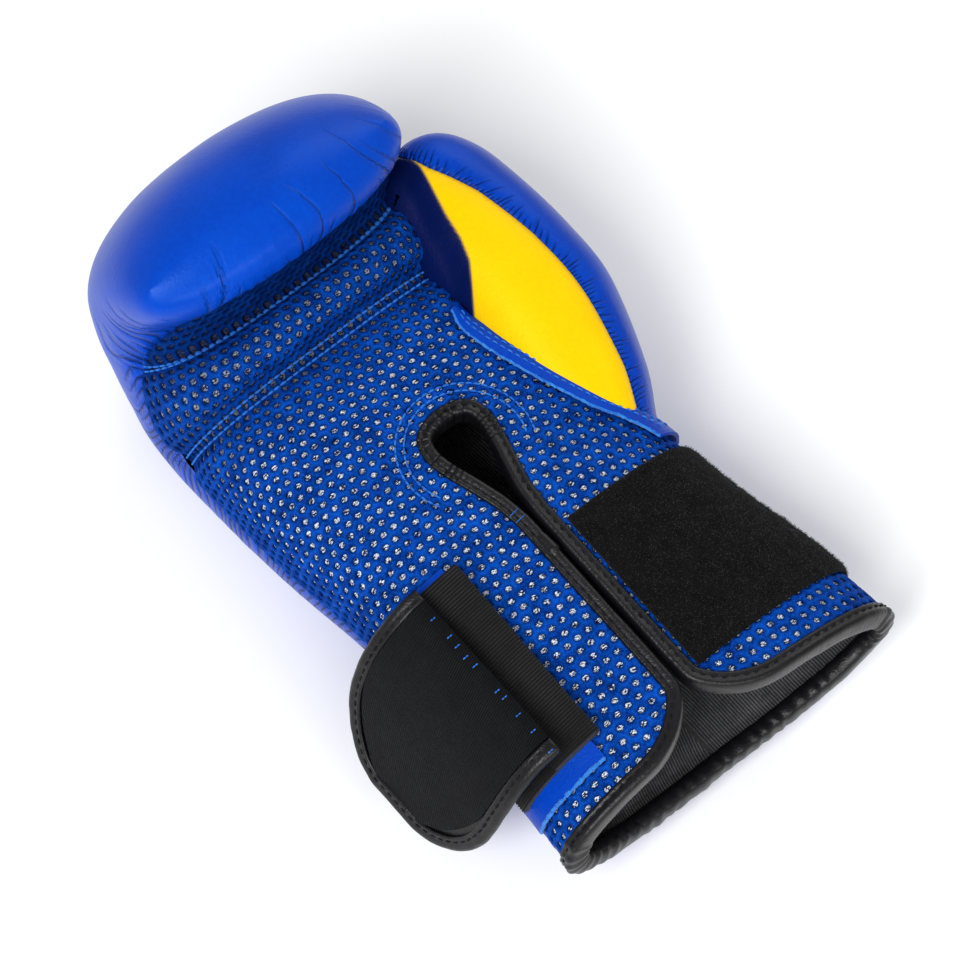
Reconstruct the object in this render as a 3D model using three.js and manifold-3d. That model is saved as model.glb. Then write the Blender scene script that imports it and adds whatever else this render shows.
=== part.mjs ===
import * as THREE from 'three';
import Module from 'manifold-3d';

// Boxing glove for the right hand, lying on its back with the palm up.
// X runs to the thumb side, Y from the cuff to the fist, Z up from the table.

// Driving sizes in millimetres
const REACH = 275;          // palm-side cuff line to the front of the fist
const STAND = 132;          // table to the top of the rolled fist
const SPREAD = 145;         // width of the cuff opening
const REST_SHARE = 0.575;   // share of REACH where the glove rests, origin of the frame
const CROWN = 0.07;         // how far the ends of the fist roll drop, share of STAND
const MESH = 3.0;           // padded air mesh of the palm
const GAP = 0.3;            // clearance between neighbouring pieces
const LINING = 1.2;         // ribbed lining
const LEATHER = 1.3;        // one layer of leather trim
const BINDING = 1.4;        // folded binding leather
const BINDING_LAP = 4.2;    // how far the binding covers the panels
const SLIT = 5.6;           // palm slit between the panel edges
const KEYHOLE = 22;         // width of the keyhole between the panel edges
const STRAP_WIDTH = 76;     // strap and loop patch
const STRAP = 1.9;          // elastic and hook panel layers
const PATCH = 1.6;          // loop patch

const Y0 = REACH * REST_SHARE;

// One row for each section of the hand form, cuff to fist nose.
// Columns: palm y and palm z, back y and back z, half width, middle x,
// fullness of the palm side and of the back. Shares of REACH, STAND and SPREAD.
const HAND = [
  [-0.0536, 0.528, -0.0536, 0.104, 0.497, -0.010, 2.3, 2.2],
  [ 0.0153, 0.528,  0.0153, 0.096, 0.490, -0.017, 2.3, 2.2],
  [ 0.1149, 0.536,  0.1073, 0.072, 0.473, -0.019, 2.4, 2.2],
  [ 0.2490, 0.552,  0.2529, 0.032, 0.453, -0.051, 2.6, 2.3],
  [ 0.3831, 0.568,  0.3985, 0.008, 0.442, -0.072, 2.8, 2.4],
  [ 0.5172, 0.568,  0.5441, -0.016, 0.442, -0.101, 3.0, 2.5],
  [ 0.6245, 0.560,  0.6667, -0.024, 0.435, -0.123, 3.0, 2.5],
  [ 0.6935, 0.560,  0.7663, -0.016, 0.431, -0.134, 3.0, 2.5],
  [ 0.7126, 0.624,  0.8467, 0.016, 0.428, -0.138, 2.8, 2.5],
  [ 0.7395, 0.656,  0.9042, 0.080, 0.420, -0.134, 2.7, 2.4],
  [ 0.7663, 0.640,  0.9502, 0.192, 0.413, -0.130, 2.7, 2.4],
  [ 0.7778, 0.608,  0.9847, 0.352, 0.413, -0.127, 2.7, 2.4],
  [ 0.7816, 0.672,  1.0000, 0.528, 0.413, -0.123, 2.6, 2.4],
  [ 0.7778, 0.744,  0.9885, 0.688, 0.406, -0.123, 2.5, 2.3],
  [ 0.7625, 0.816,  0.9579, 0.824, 0.399, -0.123, 2.4, 2.2],
  [ 0.7510, 0.880,  0.9195, 0.920, 0.391, -0.123, 2.3, 2.2],
  [ 0.7625, 0.944,  0.8736, 0.976, 0.377, -0.123, 2.2, 2.2],
  [ 0.8161, 1.000,  0.8199, 1.000, 0.341, -0.123, 2.2, 2.2],
];

// Wall between the outside and the hand space, one row for each row of HAND
// that the hand space reaches. Columns: palm, sides, back, shares of STAND.
const WALL = [
  [0.019, 0.020, 0.020],
  [0.019, 0.020, 0.020],
  [0.019, 0.024, 0.032],
  [0.019, 0.028, 0.050],
  [0.019, 0.032, 0.065],
  [0.020, 0.040, 0.080],
  [0.050, 0.050, 0.095],
  [0.080, 0.060, 0.105],
  [0.130, 0.070, 0.125],
  [0.145, 0.075, 0.155],
  [0.130, 0.080, 0.190],
  [0.115, 0.085, 0.215],
  [0.115, 0.090, 0.225],
  [0.125, 0.110, 0.235],
];

// One row for each section of the thumb, root to tip.
// Columns: y, middle x, middle z, half width, half height, fullness.
const THUMB = [
  [0.299, 0.255, 0.352, 0.070, 0.100, 2.2],
  [0.364, 0.268, 0.360, 0.098, 0.135, 2.3],
  [0.437, 0.298, 0.372, 0.148, 0.170, 2.4],
  [0.544, 0.333, 0.416, 0.180, 0.192, 2.5],
  [0.632, 0.340, 0.448, 0.180, 0.200, 2.5],
  [0.720, 0.334, 0.480, 0.170, 0.192, 2.4],
  [0.785, 0.327, 0.512, 0.150, 0.168, 2.3],
  [0.828, 0.314, 0.536, 0.108, 0.120, 2.2],
  [0.852, 0.300, 0.544, 0.022, 0.024, 2.0],
];

// Seam between the outer leather and the inner panel: row of THUMB, angle.
const THUMB_SEAM = [[0, 60], [2, 60], [3, 66], [4, 71], [5, 80], [6, 97], [7, 106], [8, 110]];

// Hollow for the thumb, same columns as THUMB.
const THUMB_HOLE = [
  [0.330, 0.100, 0.360, 0.080, 0.090, 2.2],
  [0.400, 0.200, 0.360, 0.115, 0.100, 2.2],
  [0.480, 0.270, 0.385, 0.125, 0.110, 2.2],
  [0.560, 0.325, 0.415, 0.125, 0.110, 2.2],
  [0.640, 0.340, 0.448, 0.115, 0.105, 2.2],
  [0.720, 0.338, 0.480, 0.090, 0.085, 2.2],
  [0.770, 0.333, 0.500, 0.045, 0.045, 2.1],
];

// Cuff rim: angle round the opening in degrees and share of REACH along it.
// 0 is the thumb side, 90 the palm, 180 the little finger side, 270 the back.
const RIM = [
  [-90, -0.002], [-45, -0.010], [0, -0.012], [35, -0.006], [75, 0.004],
  [100, 0.010], [145, 0.004], [180, 0.000], [225, -0.002], [270, -0.002],
];

// Keyhole and slit in the palm: share of REACH, middle as a share of SPREAD,
// opening between SLIT (0) and KEYHOLE (1).
const OPENING = [
  [0.000, -0.066, 0.10],
  [0.090, -0.066, 0.00],
  [0.345, -0.068, 0.00],
  [0.385, -0.070, 0.16],
  [0.420, -0.071, 0.48],
  [0.455, -0.072, 0.82],
  [0.482, -0.072, 1.00],
  [0.500, -0.070, 0.90],
  [0.512, -0.068, 0.55],
];
const OPENING_END = 0.519;

// Thumb-side border of the palm mesh up to the crotch of the thumb:
// share of REACH, angle in degrees.
const THUMB_EDGE = [
  [-0.054, -6], [0.300, -6], [0.335, 2], [0.365, 18], [0.404, 30],
  [0.447, 36], [0.500, 40], [0.568, 47], [0.615, 50], [0.640, 40],
  [0.660, 15], [0.680, 2],
];

// Strip over that border: share of REACH, then mesh side x and thumb side x
// as shares of SPREAD.
const TRIM = [
  [0.335, 0.325, 0.400],
  [0.385, 0.266, 0.322],
  [0.415, 0.232, 0.285],
  [0.463, 0.192, 0.247],
  [0.503, 0.166, 0.222],
  [0.548, 0.138, 0.190],
  [0.582, 0.125, 0.172],
  [0.606, 0.122, 0.160],
  [0.628, 0.130, 0.160],
];

// Little-finger side border of the mesh at rows 0 to 13 of HAND, degrees.
const OUTER_EDGE = [186, 186, 186, 186, 185, 183, 179, 176, 172, 168, 163, 156, 146, 135];

// Hanging hook panel: share of SPREAD across, share of STAND up, measured along
// its middle, and the half length of the panel there as a share of STRAP_WIDTH
// on the cuff side and on the fist side.
const PANEL = [
  [-0.405, 0.578, 0.50, 0.50],
  [-0.440, 0.572, 0.50, 0.50],
  [-0.490, 0.535, 0.50, 0.50],
  [-0.535, 0.480, 0.50, 0.50],
  [-0.575, 0.410, 0.50, 0.49],
  [-0.610, 0.335, 0.49, 0.46],
  [-0.643, 0.260, 0.43, 0.38],
  [-0.668, 0.200, 0.30, 0.27],
  [-0.680, 0.172, 0.16, 0.15],
];

const V = (x, y, z) => new THREE.Vector3(x, y, z);
const lerp = (a, b, f) => a + (b - a) * f;
const rad = (d) => d * Math.PI / 180;
const clamp = (v, a, b) => Math.min(b, Math.max(a, v));

// Straight interpolation in a table whose first column rises.
function look(table, at, column) {
  let i = 0;
  while (i < table.length - 2 && table[i + 1][0] <= at) i++;
  const f = clamp((at - table[i][0]) / (table[i + 1][0] - table[i][0]), 0, 1);
  return lerp(table[i][column], table[i + 1][column], f);
}

// Smooth curve through the rows of a table, position t in rows.
function row(table, t) {
  const n = table.length;
  const i = clamp(Math.floor(t), 0, n - 2);
  const f = t - i;
  const p1 = table[i];
  const p2 = table[i + 1];
  const p0 = i > 0 ? table[i - 1] : p1.map((v, k) => 2 * v - p2[k]);
  const p3 = i < n - 2 ? table[i + 2] : p2.map((v, k) => 2 * v - p1[k]);
  return p1.map((v, k) => 0.5 * (2 * v + (p2[k] - p0[k]) * f
    + (2 * p0[k] - 5 * v + 4 * p2[k] - p3[k]) * f * f
    + (3 * v - p0[k] - 3 * p2[k] + p3[k]) * f * f * f));
}

const round = (c, s, e) => (Math.abs(c) ** e + Math.abs(s) ** e) ** (-1 / e);

// Point on the hand form at row t and angle a, moved inward by the insets.
function hand(t, a, palm = 0, side = palm, back = palm) {
  const r = row(HAND, t);
  const py = r[0] * REACH;
  const pz = r[1] * STAND;
  const by = r[2] * REACH;
  const bz = r[3] * STAND;
  const len = Math.max(Math.hypot(py - by, pz - bz), 1e-6);
  const uy = (py - by) / len;
  const uz = (pz - bz) / len;
  const cy = (py + by) / 2 + uy * (back - palm) / 2;
  const cz = (pz + bz) / 2 + uz * (back - palm) / 2;
  const arm = len / 2 - (palm + back) / 2;
  const c = Math.cos(rad(a));
  const s = Math.sin(rad(a));
  const k = round(c, s, s >= 0 ? r[6] : r[7]);
  const x = r[5] * SPREAD + (r[4] * SPREAD - side) * k * c;
  const drop = CROWN * STAND * (k * c) ** 2 * clamp((t - 11) / 5, 0, 1);
  const floor = back > 0 ? back : 0;
  return V(x, cy + uy * arm * k * s - Y0, Math.max(cz + uz * arm * k * s - drop, floor));
}

// Row of the hand form whose palm line is at a share of REACH.
function rowAt(share) {
  let lo = 0;
  let hi = 7;
  for (let i = 0; i < 40; i++) {
    const mid = (lo + hi) / 2;
    if (row(HAND, mid)[0] < share) lo = mid; else hi = mid;
  }
  return lo;
}

// Angle on the palm side where the form is at x, in millimetres.
function angleAt(t, x) {
  const r = row(HAND, t);
  const q = clamp((x - r[5] * SPREAD) / (r[4] * SPREAD), -0.999, 0.999);
  const z = (1 - Math.abs(q) ** r[6]) ** (1 / r[6]);
  return THREE.MathUtils.radToDeg(Math.atan2(z, q));
}

// Point of the thumb form at row t and angle a, moved inward.
function tube(table, t, a, inset = 0) {
  const r = row(table, t);
  const c = Math.cos(rad(a));
  const s = Math.sin(rad(a));
  const k = round(c, s, r[5]);
  const w = Math.max(r[3] * SPREAD - inset, 0.4);
  const h = Math.max(r[4] * STAND - inset, 0.4);
  return V(r[1] * SPREAD + w * k * c, r[0] * REACH - Y0, r[2] * STAND + h * k * s);
}

// Gathers beside a seam: height of the ripple at an angle and distance.
function gather(angle, away, reach, waves) {
  const fade = clamp(1 - away / reach, 0, 1);
  return 0.55 * fade * Math.sin(rad(angle) * waves + Math.sin(rad(angle) * 7) * 1.7);
}

// Solid from points and triangles.
function build(points, triangles) {
  const g = new THREE.BufferGeometry();
  const flat = new Float32Array(points.length * 3);
  points.forEach((p, i) => p.toArray(flat, i * 3));
  g.setAttribute('position', new THREE.BufferAttribute(flat, 3));
  g.setIndex(triangles.flat());
  return g;
}

// Closed panel from a sheet of triangles in any two coordinates: the outer
// and inner faces come from two functions, the walls from the open edges.
function panel(sheet, outer, inner) {
  const n = sheet.spots.length;
  const points = [...sheet.spots.map(outer), ...sheet.spots.map(inner)];
  const triangles = [];
  const edges = new Map();
  for (const [a, b, c] of sheet.triangles) {
    triangles.push([a, b, c], [c + n, b + n, a + n]);
    for (const [p, q] of [[a, b], [b, c], [c, a]]) {
      if (edges.has(`${q},${p}`)) edges.delete(`${q},${p}`);
      else edges.set(`${p},${q}`, [p, q]);
    }
  }
  for (const [p, q] of edges.values()) triangles.push([q, p, p + n], [q, p + n, q + n]);
  return build(points, triangles);
}

// Sheet of a grid of spots. Spots with the same key are one corner.
function lattice(rows, columns, spot, skip = () => false) {
  const spots = [];
  const keys = new Map();
  const id = [];
  for (let j = 0; j <= rows; j++) {
    id.push([]);
    for (let i = 0; i <= columns; i++) {
      const s = spot(j, i);
      const key = s.key ?? `${j}:${i}`;
      if (!keys.has(key)) {
        keys.set(key, spots.length);
        spots.push(s);
      }
      id[j].push(keys.get(key));
    }
  }
  const triangles = [];
  for (let j = 0; j < rows; j++) {
    for (let i = 0; i < columns; i++) {
      if (skip(j, i)) continue;
      const [a, b, c, d] = [id[j][i], id[j][i + 1], id[j + 1][i + 1], id[j + 1][i]];
      for (const t of [[a, b, c], [a, c, d]]) {
        if (t[0] !== t[1] && t[1] !== t[2] && t[2] !== t[0]) triangles.push(t);
      }
    }
  }
  return { spots, triangles };
}

// Closed tube through rings of points, capped at both ends.
function loft(rings) {
  const m = rings[0].length;
  const points = rings.flat();
  const triangles = [];
  for (let j = 0; j + 1 < rings.length; j++) {
    for (let i = 0; i < m; i++) {
      const k = (i + 1) % m;
      const a = j * m + i;
      const b = j * m + k;
      triangles.push([a, b, b + m], [a, b + m, a + m]);
    }
  }
  for (const [j, flip] of [[0, true], [rings.length - 1, false]]) {
    const centre = rings[j].reduce((s, p) => s.add(p), V(0, 0, 0)).divideScalar(m);
    const c = points.push(centre) - 1;
    for (let i = 0; i < m; i++) {
      const a = j * m + i;
      const b = j * m + (i + 1) % m;
      triangles.push(flip ? [b, a, c] : [a, b, c]);
    }
  }
  return build(points, triangles);
}

const wasm = await Module();
wasm.setup();

// Volume of a closed geometry, negative when it is inside out.
function volume(g) {
  const p = g.attributes.position;
  const at = (i) => V(p.getX(i), p.getY(i), p.getZ(i));
  let v = 0;
  for (let i = 0; i < g.index.count; i += 3) {
    const [a, b, c] = [0, 1, 2].map((k) => at(g.index.getX(i + k)));
    v += a.dot(b.cross(c)) / 6;
  }
  return v;
}

function solid(g) {
  const index = Uint32Array.from(g.index.array);
  if (volume(g) < 0) {
    for (let i = 0; i < index.length; i += 3) {
      [index[i], index[i + 1]] = [index[i + 1], index[i]];
    }
  }
  return new wasm.Manifold(new wasm.Mesh({
    numProp: 3,
    vertProperties: Float32Array.from(g.attributes.position.array),
    triVerts: index,
  }));
}

// Largest body of a solid, as a geometry.
function geometry(m) {
  const parts = m.decompose().sort((a, b) => b.volume() - a.volume());
  const mesh = parts[0].getMesh();
  const g = new THREE.BufferGeometry();
  g.setAttribute('position', new THREE.BufferAttribute(Float32Array.from(mesh.vertProperties), 3));
  g.setIndex([...mesh.triVerts]);
  return g;
}

const group = new THREE.Group();

function add(name, g, colour, roughness) {
  const shape = g.toNonIndexed();
  if (volume(g) < 0) {
    const p = shape.attributes.position.array;
    for (let i = 0; i < p.length; i += 9) {
      for (let k = 0; k < 3; k++) [p[i + k], p[i + 3 + k]] = [p[i + 3 + k], p[i + k]];
    }
  }
  shape.computeVertexNormals();
  const material = new THREE.MeshStandardMaterial({ color: colour, roughness, metalness: 0 });
  const mesh = new THREE.Mesh(shape, material);
  mesh.name = name;
  group.add(mesh);
}

const BLUE = 0x0b4fc8;
const MESH_BLUE = 0x1a63dc;
const YELLOW = 0xf7d411;
const BLACK = 0x17181a;
const SOFT_BLACK = 0x222326;

// Half width of the palm opening and its middle at a share of REACH
const middle = (share) => look(OPENING, share, 1) * SPREAD;
const half = (share) => lerp(SLIT, KEYHOLE, look(OPENING, share, 2)) / 2;

// Rounded flap corner: how far the rim rises beside the slit.
const CORNER = SLIT * 4.6;
function rise(away) {
  if (away >= CORNER) return 0;
  return CORNER - Math.sqrt(CORNER ** 2 - (CORNER - away) ** 2);
}

// Lining and palm mesh share this layout: rows from the rim to past the keyhole,
// columns from the slit to the border, spots hold the row and angle on the form.
const RIM_ROWS = [0, 0.1, 0.34, 0.6, 0.82, 1];
const KEY_ROWS = [0.385, 0.420, 0.455, 0.482, 0.500, 0.512];
const SLIT_START = 0.345;

function flapSpot(side, f, share, rimStep, border, trim = 0) {
  const middleX = middle(share);
  const edge = half(share) + trim;
  const t0 = rowAt(share);
  const aSlit = angleAt(t0, middleX + side * edge);
  const a = lerp(aSlit, border(t0), f);
  if (rimStep === null) return { t: t0, a };
  const start = lerp(angleAt(rowAt(0.02), middle(0) + side * (SLIT / 2 + trim)), border(1), f);
  const r = row(HAND, rowAt(0.02));
  const spread = r[4] * SPREAD;
  const away = Math.abs(rad(start) - rad(angleAt(rowAt(0.02), middle(0)))) * spread * 0.9;
  const low = look(RIM, start > 270 ? start - 360 : start, 1) * REACH + rise(away) + trim;
  const y = lerp(low, SLIT_START * REACH, rimStep) / REACH;
  const t = rowAt(y);
  return { t, a: lerp(angleAt(t, middle(y) + side * (half(y) + trim)), border(t), f) };
}

// Left and right flaps in one lattice; above the keyhole they share a column.
function cuffSheet(fThumb, fOuter, borderThumb, borderOuter, above, trim = 0) {
  const n = fThumb.length - 1;
  const m = fOuter.length - 1;
  const rows = RIM_ROWS.length + KEY_ROWS.length + above.length;
  const columns = n + m + 1;
  const spot = (j, i) => {
    const thumbSide = i <= n;
    const f = thumbSide ? fThumb[n - i] : fOuter[i - n - 1];
    const side = thumbSide ? 1 : -1;
    const border = thumbSide ? borderThumb : borderOuter;
    if (j < RIM_ROWS.length) return flapSpot(side, f, SLIT_START, RIM_ROWS[j], border, trim);
    if (j < RIM_ROWS.length + KEY_ROWS.length) {
      return flapSpot(side, f, KEY_ROWS[j - RIM_ROWS.length], null, border, trim);
    }
    const up = above[j - RIM_ROWS.length - KEY_ROWS.length];
    const t = typeof up === 'function' ? up(f, side) : up;
    const share = row(HAND, Math.min(t, 7))[0];
    const aMid = angleAt(t, middle(Math.min(share, OPENING_END)) * clamp((9 - t) / 4, 0, 1)
      + row(HAND, t)[5] * SPREAD * clamp((t - 5) / 4, 0, 1));
    const s = { t, a: lerp(aMid, border(t), f) };
    if (f === 0) s.key = `${j}:middle`;
    return s;
  };
  return lattice(rows - 1, columns, spot,
    (j, i) => i === n && j < RIM_ROWS.length + KEY_ROWS.length);
}

const outerEdge = (t) => {
  const i = clamp(Math.floor(t), 0, OUTER_EDGE.length - 2);
  return lerp(OUTER_EDGE[i], OUTER_EDGE[i + 1], clamp(t - i, 0, 1));
};
function thumbEdge(t) {
  if (t > 7) return lerp(2, 30, clamp((t - 10) / 3.6, 0, 1) ** 2);
  return look(THUMB_EDGE, row(HAND, t)[0], 1);
}

// Fist seam of the mesh: row of the form, dropping in the rounded corners.
const SEAM_ROW = 13.7;
function seamRow(f, side) {
  const drop = side < 0 ? 3.6 : 1.2;
  return SEAM_ROW - drop * clamp((f - 0.55) / 0.45, 0, 1) ** 2;
}
const UP = [0.18, 0.34, 0.48, 0.62, 0.81, 1];
const palmRows = [
  rowAt(OPENING_END), 5.6, 6.3, 7,
  7.5, 8, 8.5, 9, 9.5, 10,
  ...UP.map((g) => (f, side) => lerp(10, seamRow(f, side), g)),
];
const F_PALM = [0, 0.06, 0.14, 0.26, 0.43, 0.63, 0.84, 1];
const palmSheet = cuffSheet(F_PALM, F_PALM, thumbEdge, outerEdge, palmRows);
const palmMesh = panel(palmSheet, (s) => hand(s.t, s.a, 0), (s) => hand(s.t, s.a, MESH));
add('palm_mesh', palmMesh, MESH_BLUE, 0.75);

// Room for the mesh in the back pad, and the mesh grown for pieces that lie on it
const wider = (edge, more) => (t) => edge(t) + more;
const roomSheet = cuffSheet(F_PALM, F_PALM, wider(thumbEdge, -0.9), wider(outerEdge, 0.9),
  palmRows);
for (const s of roomSheet.spots) if (s.t > 10) s.t += 0.07;
const slitSheet = lattice(8, 4, (j, i) => {
  const share = lerp(-0.05, OPENING_END + 0.02, j / 8);
  const t = rowAt(share);
  const w = share < 0.14 ? CORNER * 1.2 + SLIT : KEYHOLE * 0.8;
  return { t, a: angleAt(t, middle(share) + lerp(1, -1, i / 4) * w) };
});
const depths = (sheet, top, bottom) => solid(panel(sheet, (s) => hand(s.t, s.a, top),
  (s) => hand(s.t, s.a, bottom)));
const room = depths(roomSheet, -4, MESH + 2 * GAP).add(depths(slitSheet, -3, MESH + 2 * GAP));

const ROUND = 36;
const angles = Array.from({ length: ROUND }, (_, i) => -90 + i * 360 / ROUND);

function rimRow(a) {
  return rowAt(look(RIM, a > 270 ? a - 360 : a, 1));
}

// Outside of the glove without the thumb
const outerRows = [0, 1, 2, 3, 4, 5, 6, 7, 7.8, 8.6, 9.4, 10.2, 11, 11.8, 12.5, 13.2,
  13.75, 14.4, 15.1, 15.8, 16.4, 17];
const form = (grow, rows = outerRows) => loft(rows.map((t, j) => angles.map((a) => {
  const start = j === 0 ? rimRow(a) : j === 1 ? lerp(rimRow(a), 2, 0.5) : t;
  const away = Math.abs(t - SEAM_ROW) * 8;
  const ripple = grow === 0 && Math.sin(rad(a)) > 0.2 && t > SEAM_ROW ? gather(a, away, 14, 34) : 0;
  return hand(start, a, -grow - ripple);
})));

function wall(t, column) {
  return row(WALL, clamp(t, 0, WALL.length - 1))[column] * STAND;
}
const holeRows = [0, 1, 2, 3, 4, 5, 6, 7, 8, 9, 10, 11, 12, 12.6];
const inside = Array.from({ length: 26 }, (_, i) => -90 + i * 360 / 26);
const hole = solid(loft(holeRows.map((t) => inside.map((a) =>
  hand(t, a, wall(t, 0), wall(t, 1), wall(t, 2))))));
const thumbHoleRows = [0, 1, 2, 3, 4, 5, 6];
const thumbHole = (grow) => solid(loft(thumbHoleRows.map((t) =>
  Array.from({ length: 12 }, (_, i) => tube(THUMB_HOLE, t, i * 30, -grow)))));

const backPad = solid(form(0)).subtract(hole).subtract(room).subtract(thumbHole(0));
add('back_pad', geometry(backPad), BLUE, 0.35);

const skin = solid(form(GAP)).add(depths(roomSheet, -2 * GAP, MESH / 2));

// Cutter for keyhole, slit and the rounded flap corners
const keySheet = lattice(17, 2, (j, i) => {
  const low = -0.05;
  const mark = [low, -0.03, -0.014, 0, 0.012, 0.024, 0.036, 0.05, 0.1, 0.345, 0.385, 0.42, 0.455,
    0.482, 0.5, 0.512, OPENING_END, OPENING_END + 0.004][j];
  const up = mark * REACH - look(RIM, 90, 1) * REACH;
  const corner = mark < 0.06 ? CORNER - Math.sqrt(Math.max(CORNER ** 2
    - (CORNER - clamp(up, 0, CORNER)) ** 2, 0)) : 0;
  const w = mark > OPENING_END ? 0.2 : half(mark) + (mark < 0.06 ? corner : 0);
  const t = rowAt(mark);
  return { t, a: angleAt(t, middle(mark) + (1 - i) * w) };
});
const keyhole = depths(keySheet, -4, 12);

// Lining round the inside of the cuff, from the rim past the keyhole
const lineRows = [0, 1, 2, 3, 4, 5, 5.3];
function lineLoft(extra, ends) {
  return solid(loft(lineRows.map((t, j) => inside.map((a) => {
    const start = j === 0 ? lerp(rimRow(a) + 0.03, 0, ends) : t + (j === 6 ? ends * 0.1 : 0);
    return hand(start, a, ...lineDepth(start).map((d) => d + extra));
  }))));
}
const lineDepth = (t) => [
  Math.max(wall(t, 0), MESH + 2 * GAP) + 2 * GAP,
  Math.max(wall(t, 1), MESH + 2 * GAP) + 4 * GAP + 4 * GAP * clamp((t - 2) / 1.5, 0, 1),
  wall(t, 2) + 1.5 * GAP,
];
const lining = lineLoft(0, 0).subtract(lineLoft(LINING, 1)).subtract(keyhole)
  .subtract(thumbHole(1.5));
add('cuff_lining', geometry(lining), BLACK, 0.85);

// Thumb: outer leather half, yellow inner panel, both cut to the hand form
const thumbRows = [0, 1, 1.8, 2.6, 3.4, 4.2, 5, 5.7, 6.4, 7, 7.5, 7.85, 8];
const thumbForm = solid(loft(thumbRows.map((t) =>
  Array.from({ length: 20 }, (_, i) => tube(THUMB, t, i * 18, 0)))));
const seamAngle = (t) => look(THUMB_SEAM, t, 1);
const innerAngle = 205;
const yellowSheet = (grow) => lattice(14, 8, (j, i) => {
  const t = lerp(0.2, 7.45 + grow * 0.03, j / 14);
  return { t, a: lerp(seamAngle(t) - grow, innerAngle + grow, i / 8) };
});
const yellow = solid(panel(yellowSheet(0), (s) => tube(THUMB, s.t, s.a, 0),
  (s) => tube(THUMB, s.t, s.a, MESH)));
const yellowRoom = solid(panel(yellowSheet(1.6), (s) => tube(THUMB, s.t, s.a, -3),
  (s) => tube(THUMB, s.t, s.a, MESH + 2 * GAP)));

// Strip along the thumb border
function trimSheet(grow) {
  return lattice(TRIM.length - 1, 3, (j, i) => {
    const [share, a, b] = TRIM[j];
    const t = rowAt(share + (j === 0 ? -grow : j === TRIM.length - 1 ? grow : 0) / REACH);
    return { t, a: angleAt(t, lerp(a * SPREAD - grow, b * SPREAD + grow, i / 3)) };
  });
}
const LIFT = 2 * GAP;
const lay = (sheet, thick, lift = LIFT) => panel(sheet, (s) => hand(s.t, s.a, -lift - thick),
  (s) => hand(s.t, s.a, -lift));
add('thumb_trim', lay(trimSheet(0), LEATHER, 3 * GAP), BLUE, 0.4);
const trimRoom = depths(trimSheet(5 * GAP), -LEATHER - 5 * GAP, 2 * GAP);

const thumbOuter = thumbForm.subtract(yellowRoom).subtract(thumbHole(0)).subtract(skin)
  .subtract(trimRoom);
add('thumb_outer', geometry(thumbOuter), BLUE, 0.35);
add('thumb_inner', geometry(yellow.subtract(thumbHole(0)).subtract(skin).subtract(trimRoom)), YELLOW, 0.4);

// Binding over every cut edge: keyhole, slit, flap corners and rim in one loop
function edgePath() {
  const n = F_PALM.length;
  const spots = [];
  const rows = RIM_ROWS.length + KEY_ROWS.length;
  const border = thumbEdge;
  const at = (side, f, j) => (j < RIM_ROWS.length
    ? flapSpot(side, f, SLIT_START, RIM_ROWS[j], side > 0 ? thumbEdge : outerEdge)
    : flapSpot(side, f, KEY_ROWS[j - RIM_ROWS.length], null, side > 0 ? thumbEdge : outerEdge));
  const topRow = rowAt(OPENING_END);
  spots.push({ t: topRow, a: angleAt(topRow, middle(OPENING_END)) });
  for (let j = rows - 1; j >= 0; j--) spots.push(at(1, 0, j));
  for (let i = 1; i < n; i++) spots.push(at(1, F_PALM[i], 0));
  const back = angles.filter((a) => a < border(1) - 4 || a > outerEdge(1) + 4);
  const order = back.map((a) => (a > 180 ? a - 360 : a)).sort((p, q) => q - p);
  for (const a of order) spots.push({ t: rimRow(a < -90 ? a + 360 : a), a });
  for (let i = n - 1; i >= 1; i--) spots.push(at(-1, F_PALM[i], 0));
  for (let j = 0; j < rows; j++) spots.push(at(-1, 0, j));
  return spots;
}
const path = edgePath();
const stack = MESH + 6 * GAP + LINING;
const SEAT = 2.5 * GAP;
const lap = [
  [-BINDING_LAP, -SEAT], [-BINDING_LAP, -SEAT - BINDING * 0.7], [0.3, -SEAT - BINDING],
  [SEAT + BINDING, stack / 2], [0.3, stack + SEAT + BINDING],
  [-BINDING_LAP, stack + SEAT + BINDING * 0.7], [-BINDING_LAP, stack + SEAT],
  [SEAT, stack + SEAT], [SEAT, -SEAT],
];
function bindingRings() {
  const n = path.length;
  const onTop = path.map((s) => hand(s.t, s.a, 0));
  const under = path.map((s) => hand(s.t, s.a, 1));
  return onTop.map((p, i) => {
    const along = onTop[(i + 1) % n].clone().sub(onTop[(i + n - 1) % n]).normalize();
    const down = under[i].clone().sub(p);
    down.addScaledVector(along, -down.dot(along)).normalize();
    const out = down.clone().cross(along).normalize();
    const mitre = 1 / Math.max(onTop[(i + 1) % n].clone().sub(p).normalize().dot(along), 0.7);
    return lap.map(([e, d]) => p.clone().addScaledVector(out, e * mitre).addScaledVector(down, d));
  });
}
function closedLoop(rings) {
  const n = rings.length;
  const m = rings[0].length;
  const triangles = [];
  for (let j = 0; j < n; j++) {
    for (let i = 0; i < m; i++) {
      const a = j * m + i;
      const b = j * m + (i + 1) % m;
      const c = ((j + 1) % n) * m + (i + 1) % m;
      const d = ((j + 1) % n) * m + i;
      triangles.push([a, b, c], [a, c, d]);
    }
  }
  return build(rings.flat(), triangles);
}
add('cuff_binding', closedLoop(bindingRings()), SOFT_BLACK, 0.45);

// Loop patch round the thumb side of the cuff
const LOOP_LOW = 0.066;
const LOOP_START = 0.055;
const loopSheet = lattice(4, 12, (j, i) => {
  const share = LOOP_LOW + j / 4 * STRAP_WIDTH * 0.9 / REACH;
  const t = rowAt(share);
  return { t, a: lerp(angleAt(t, LOOP_START * SPREAD), 2, i / 12) };
});
add('loop_patch', lay(loopSheet, PATCH), BLACK, 0.95);

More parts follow.
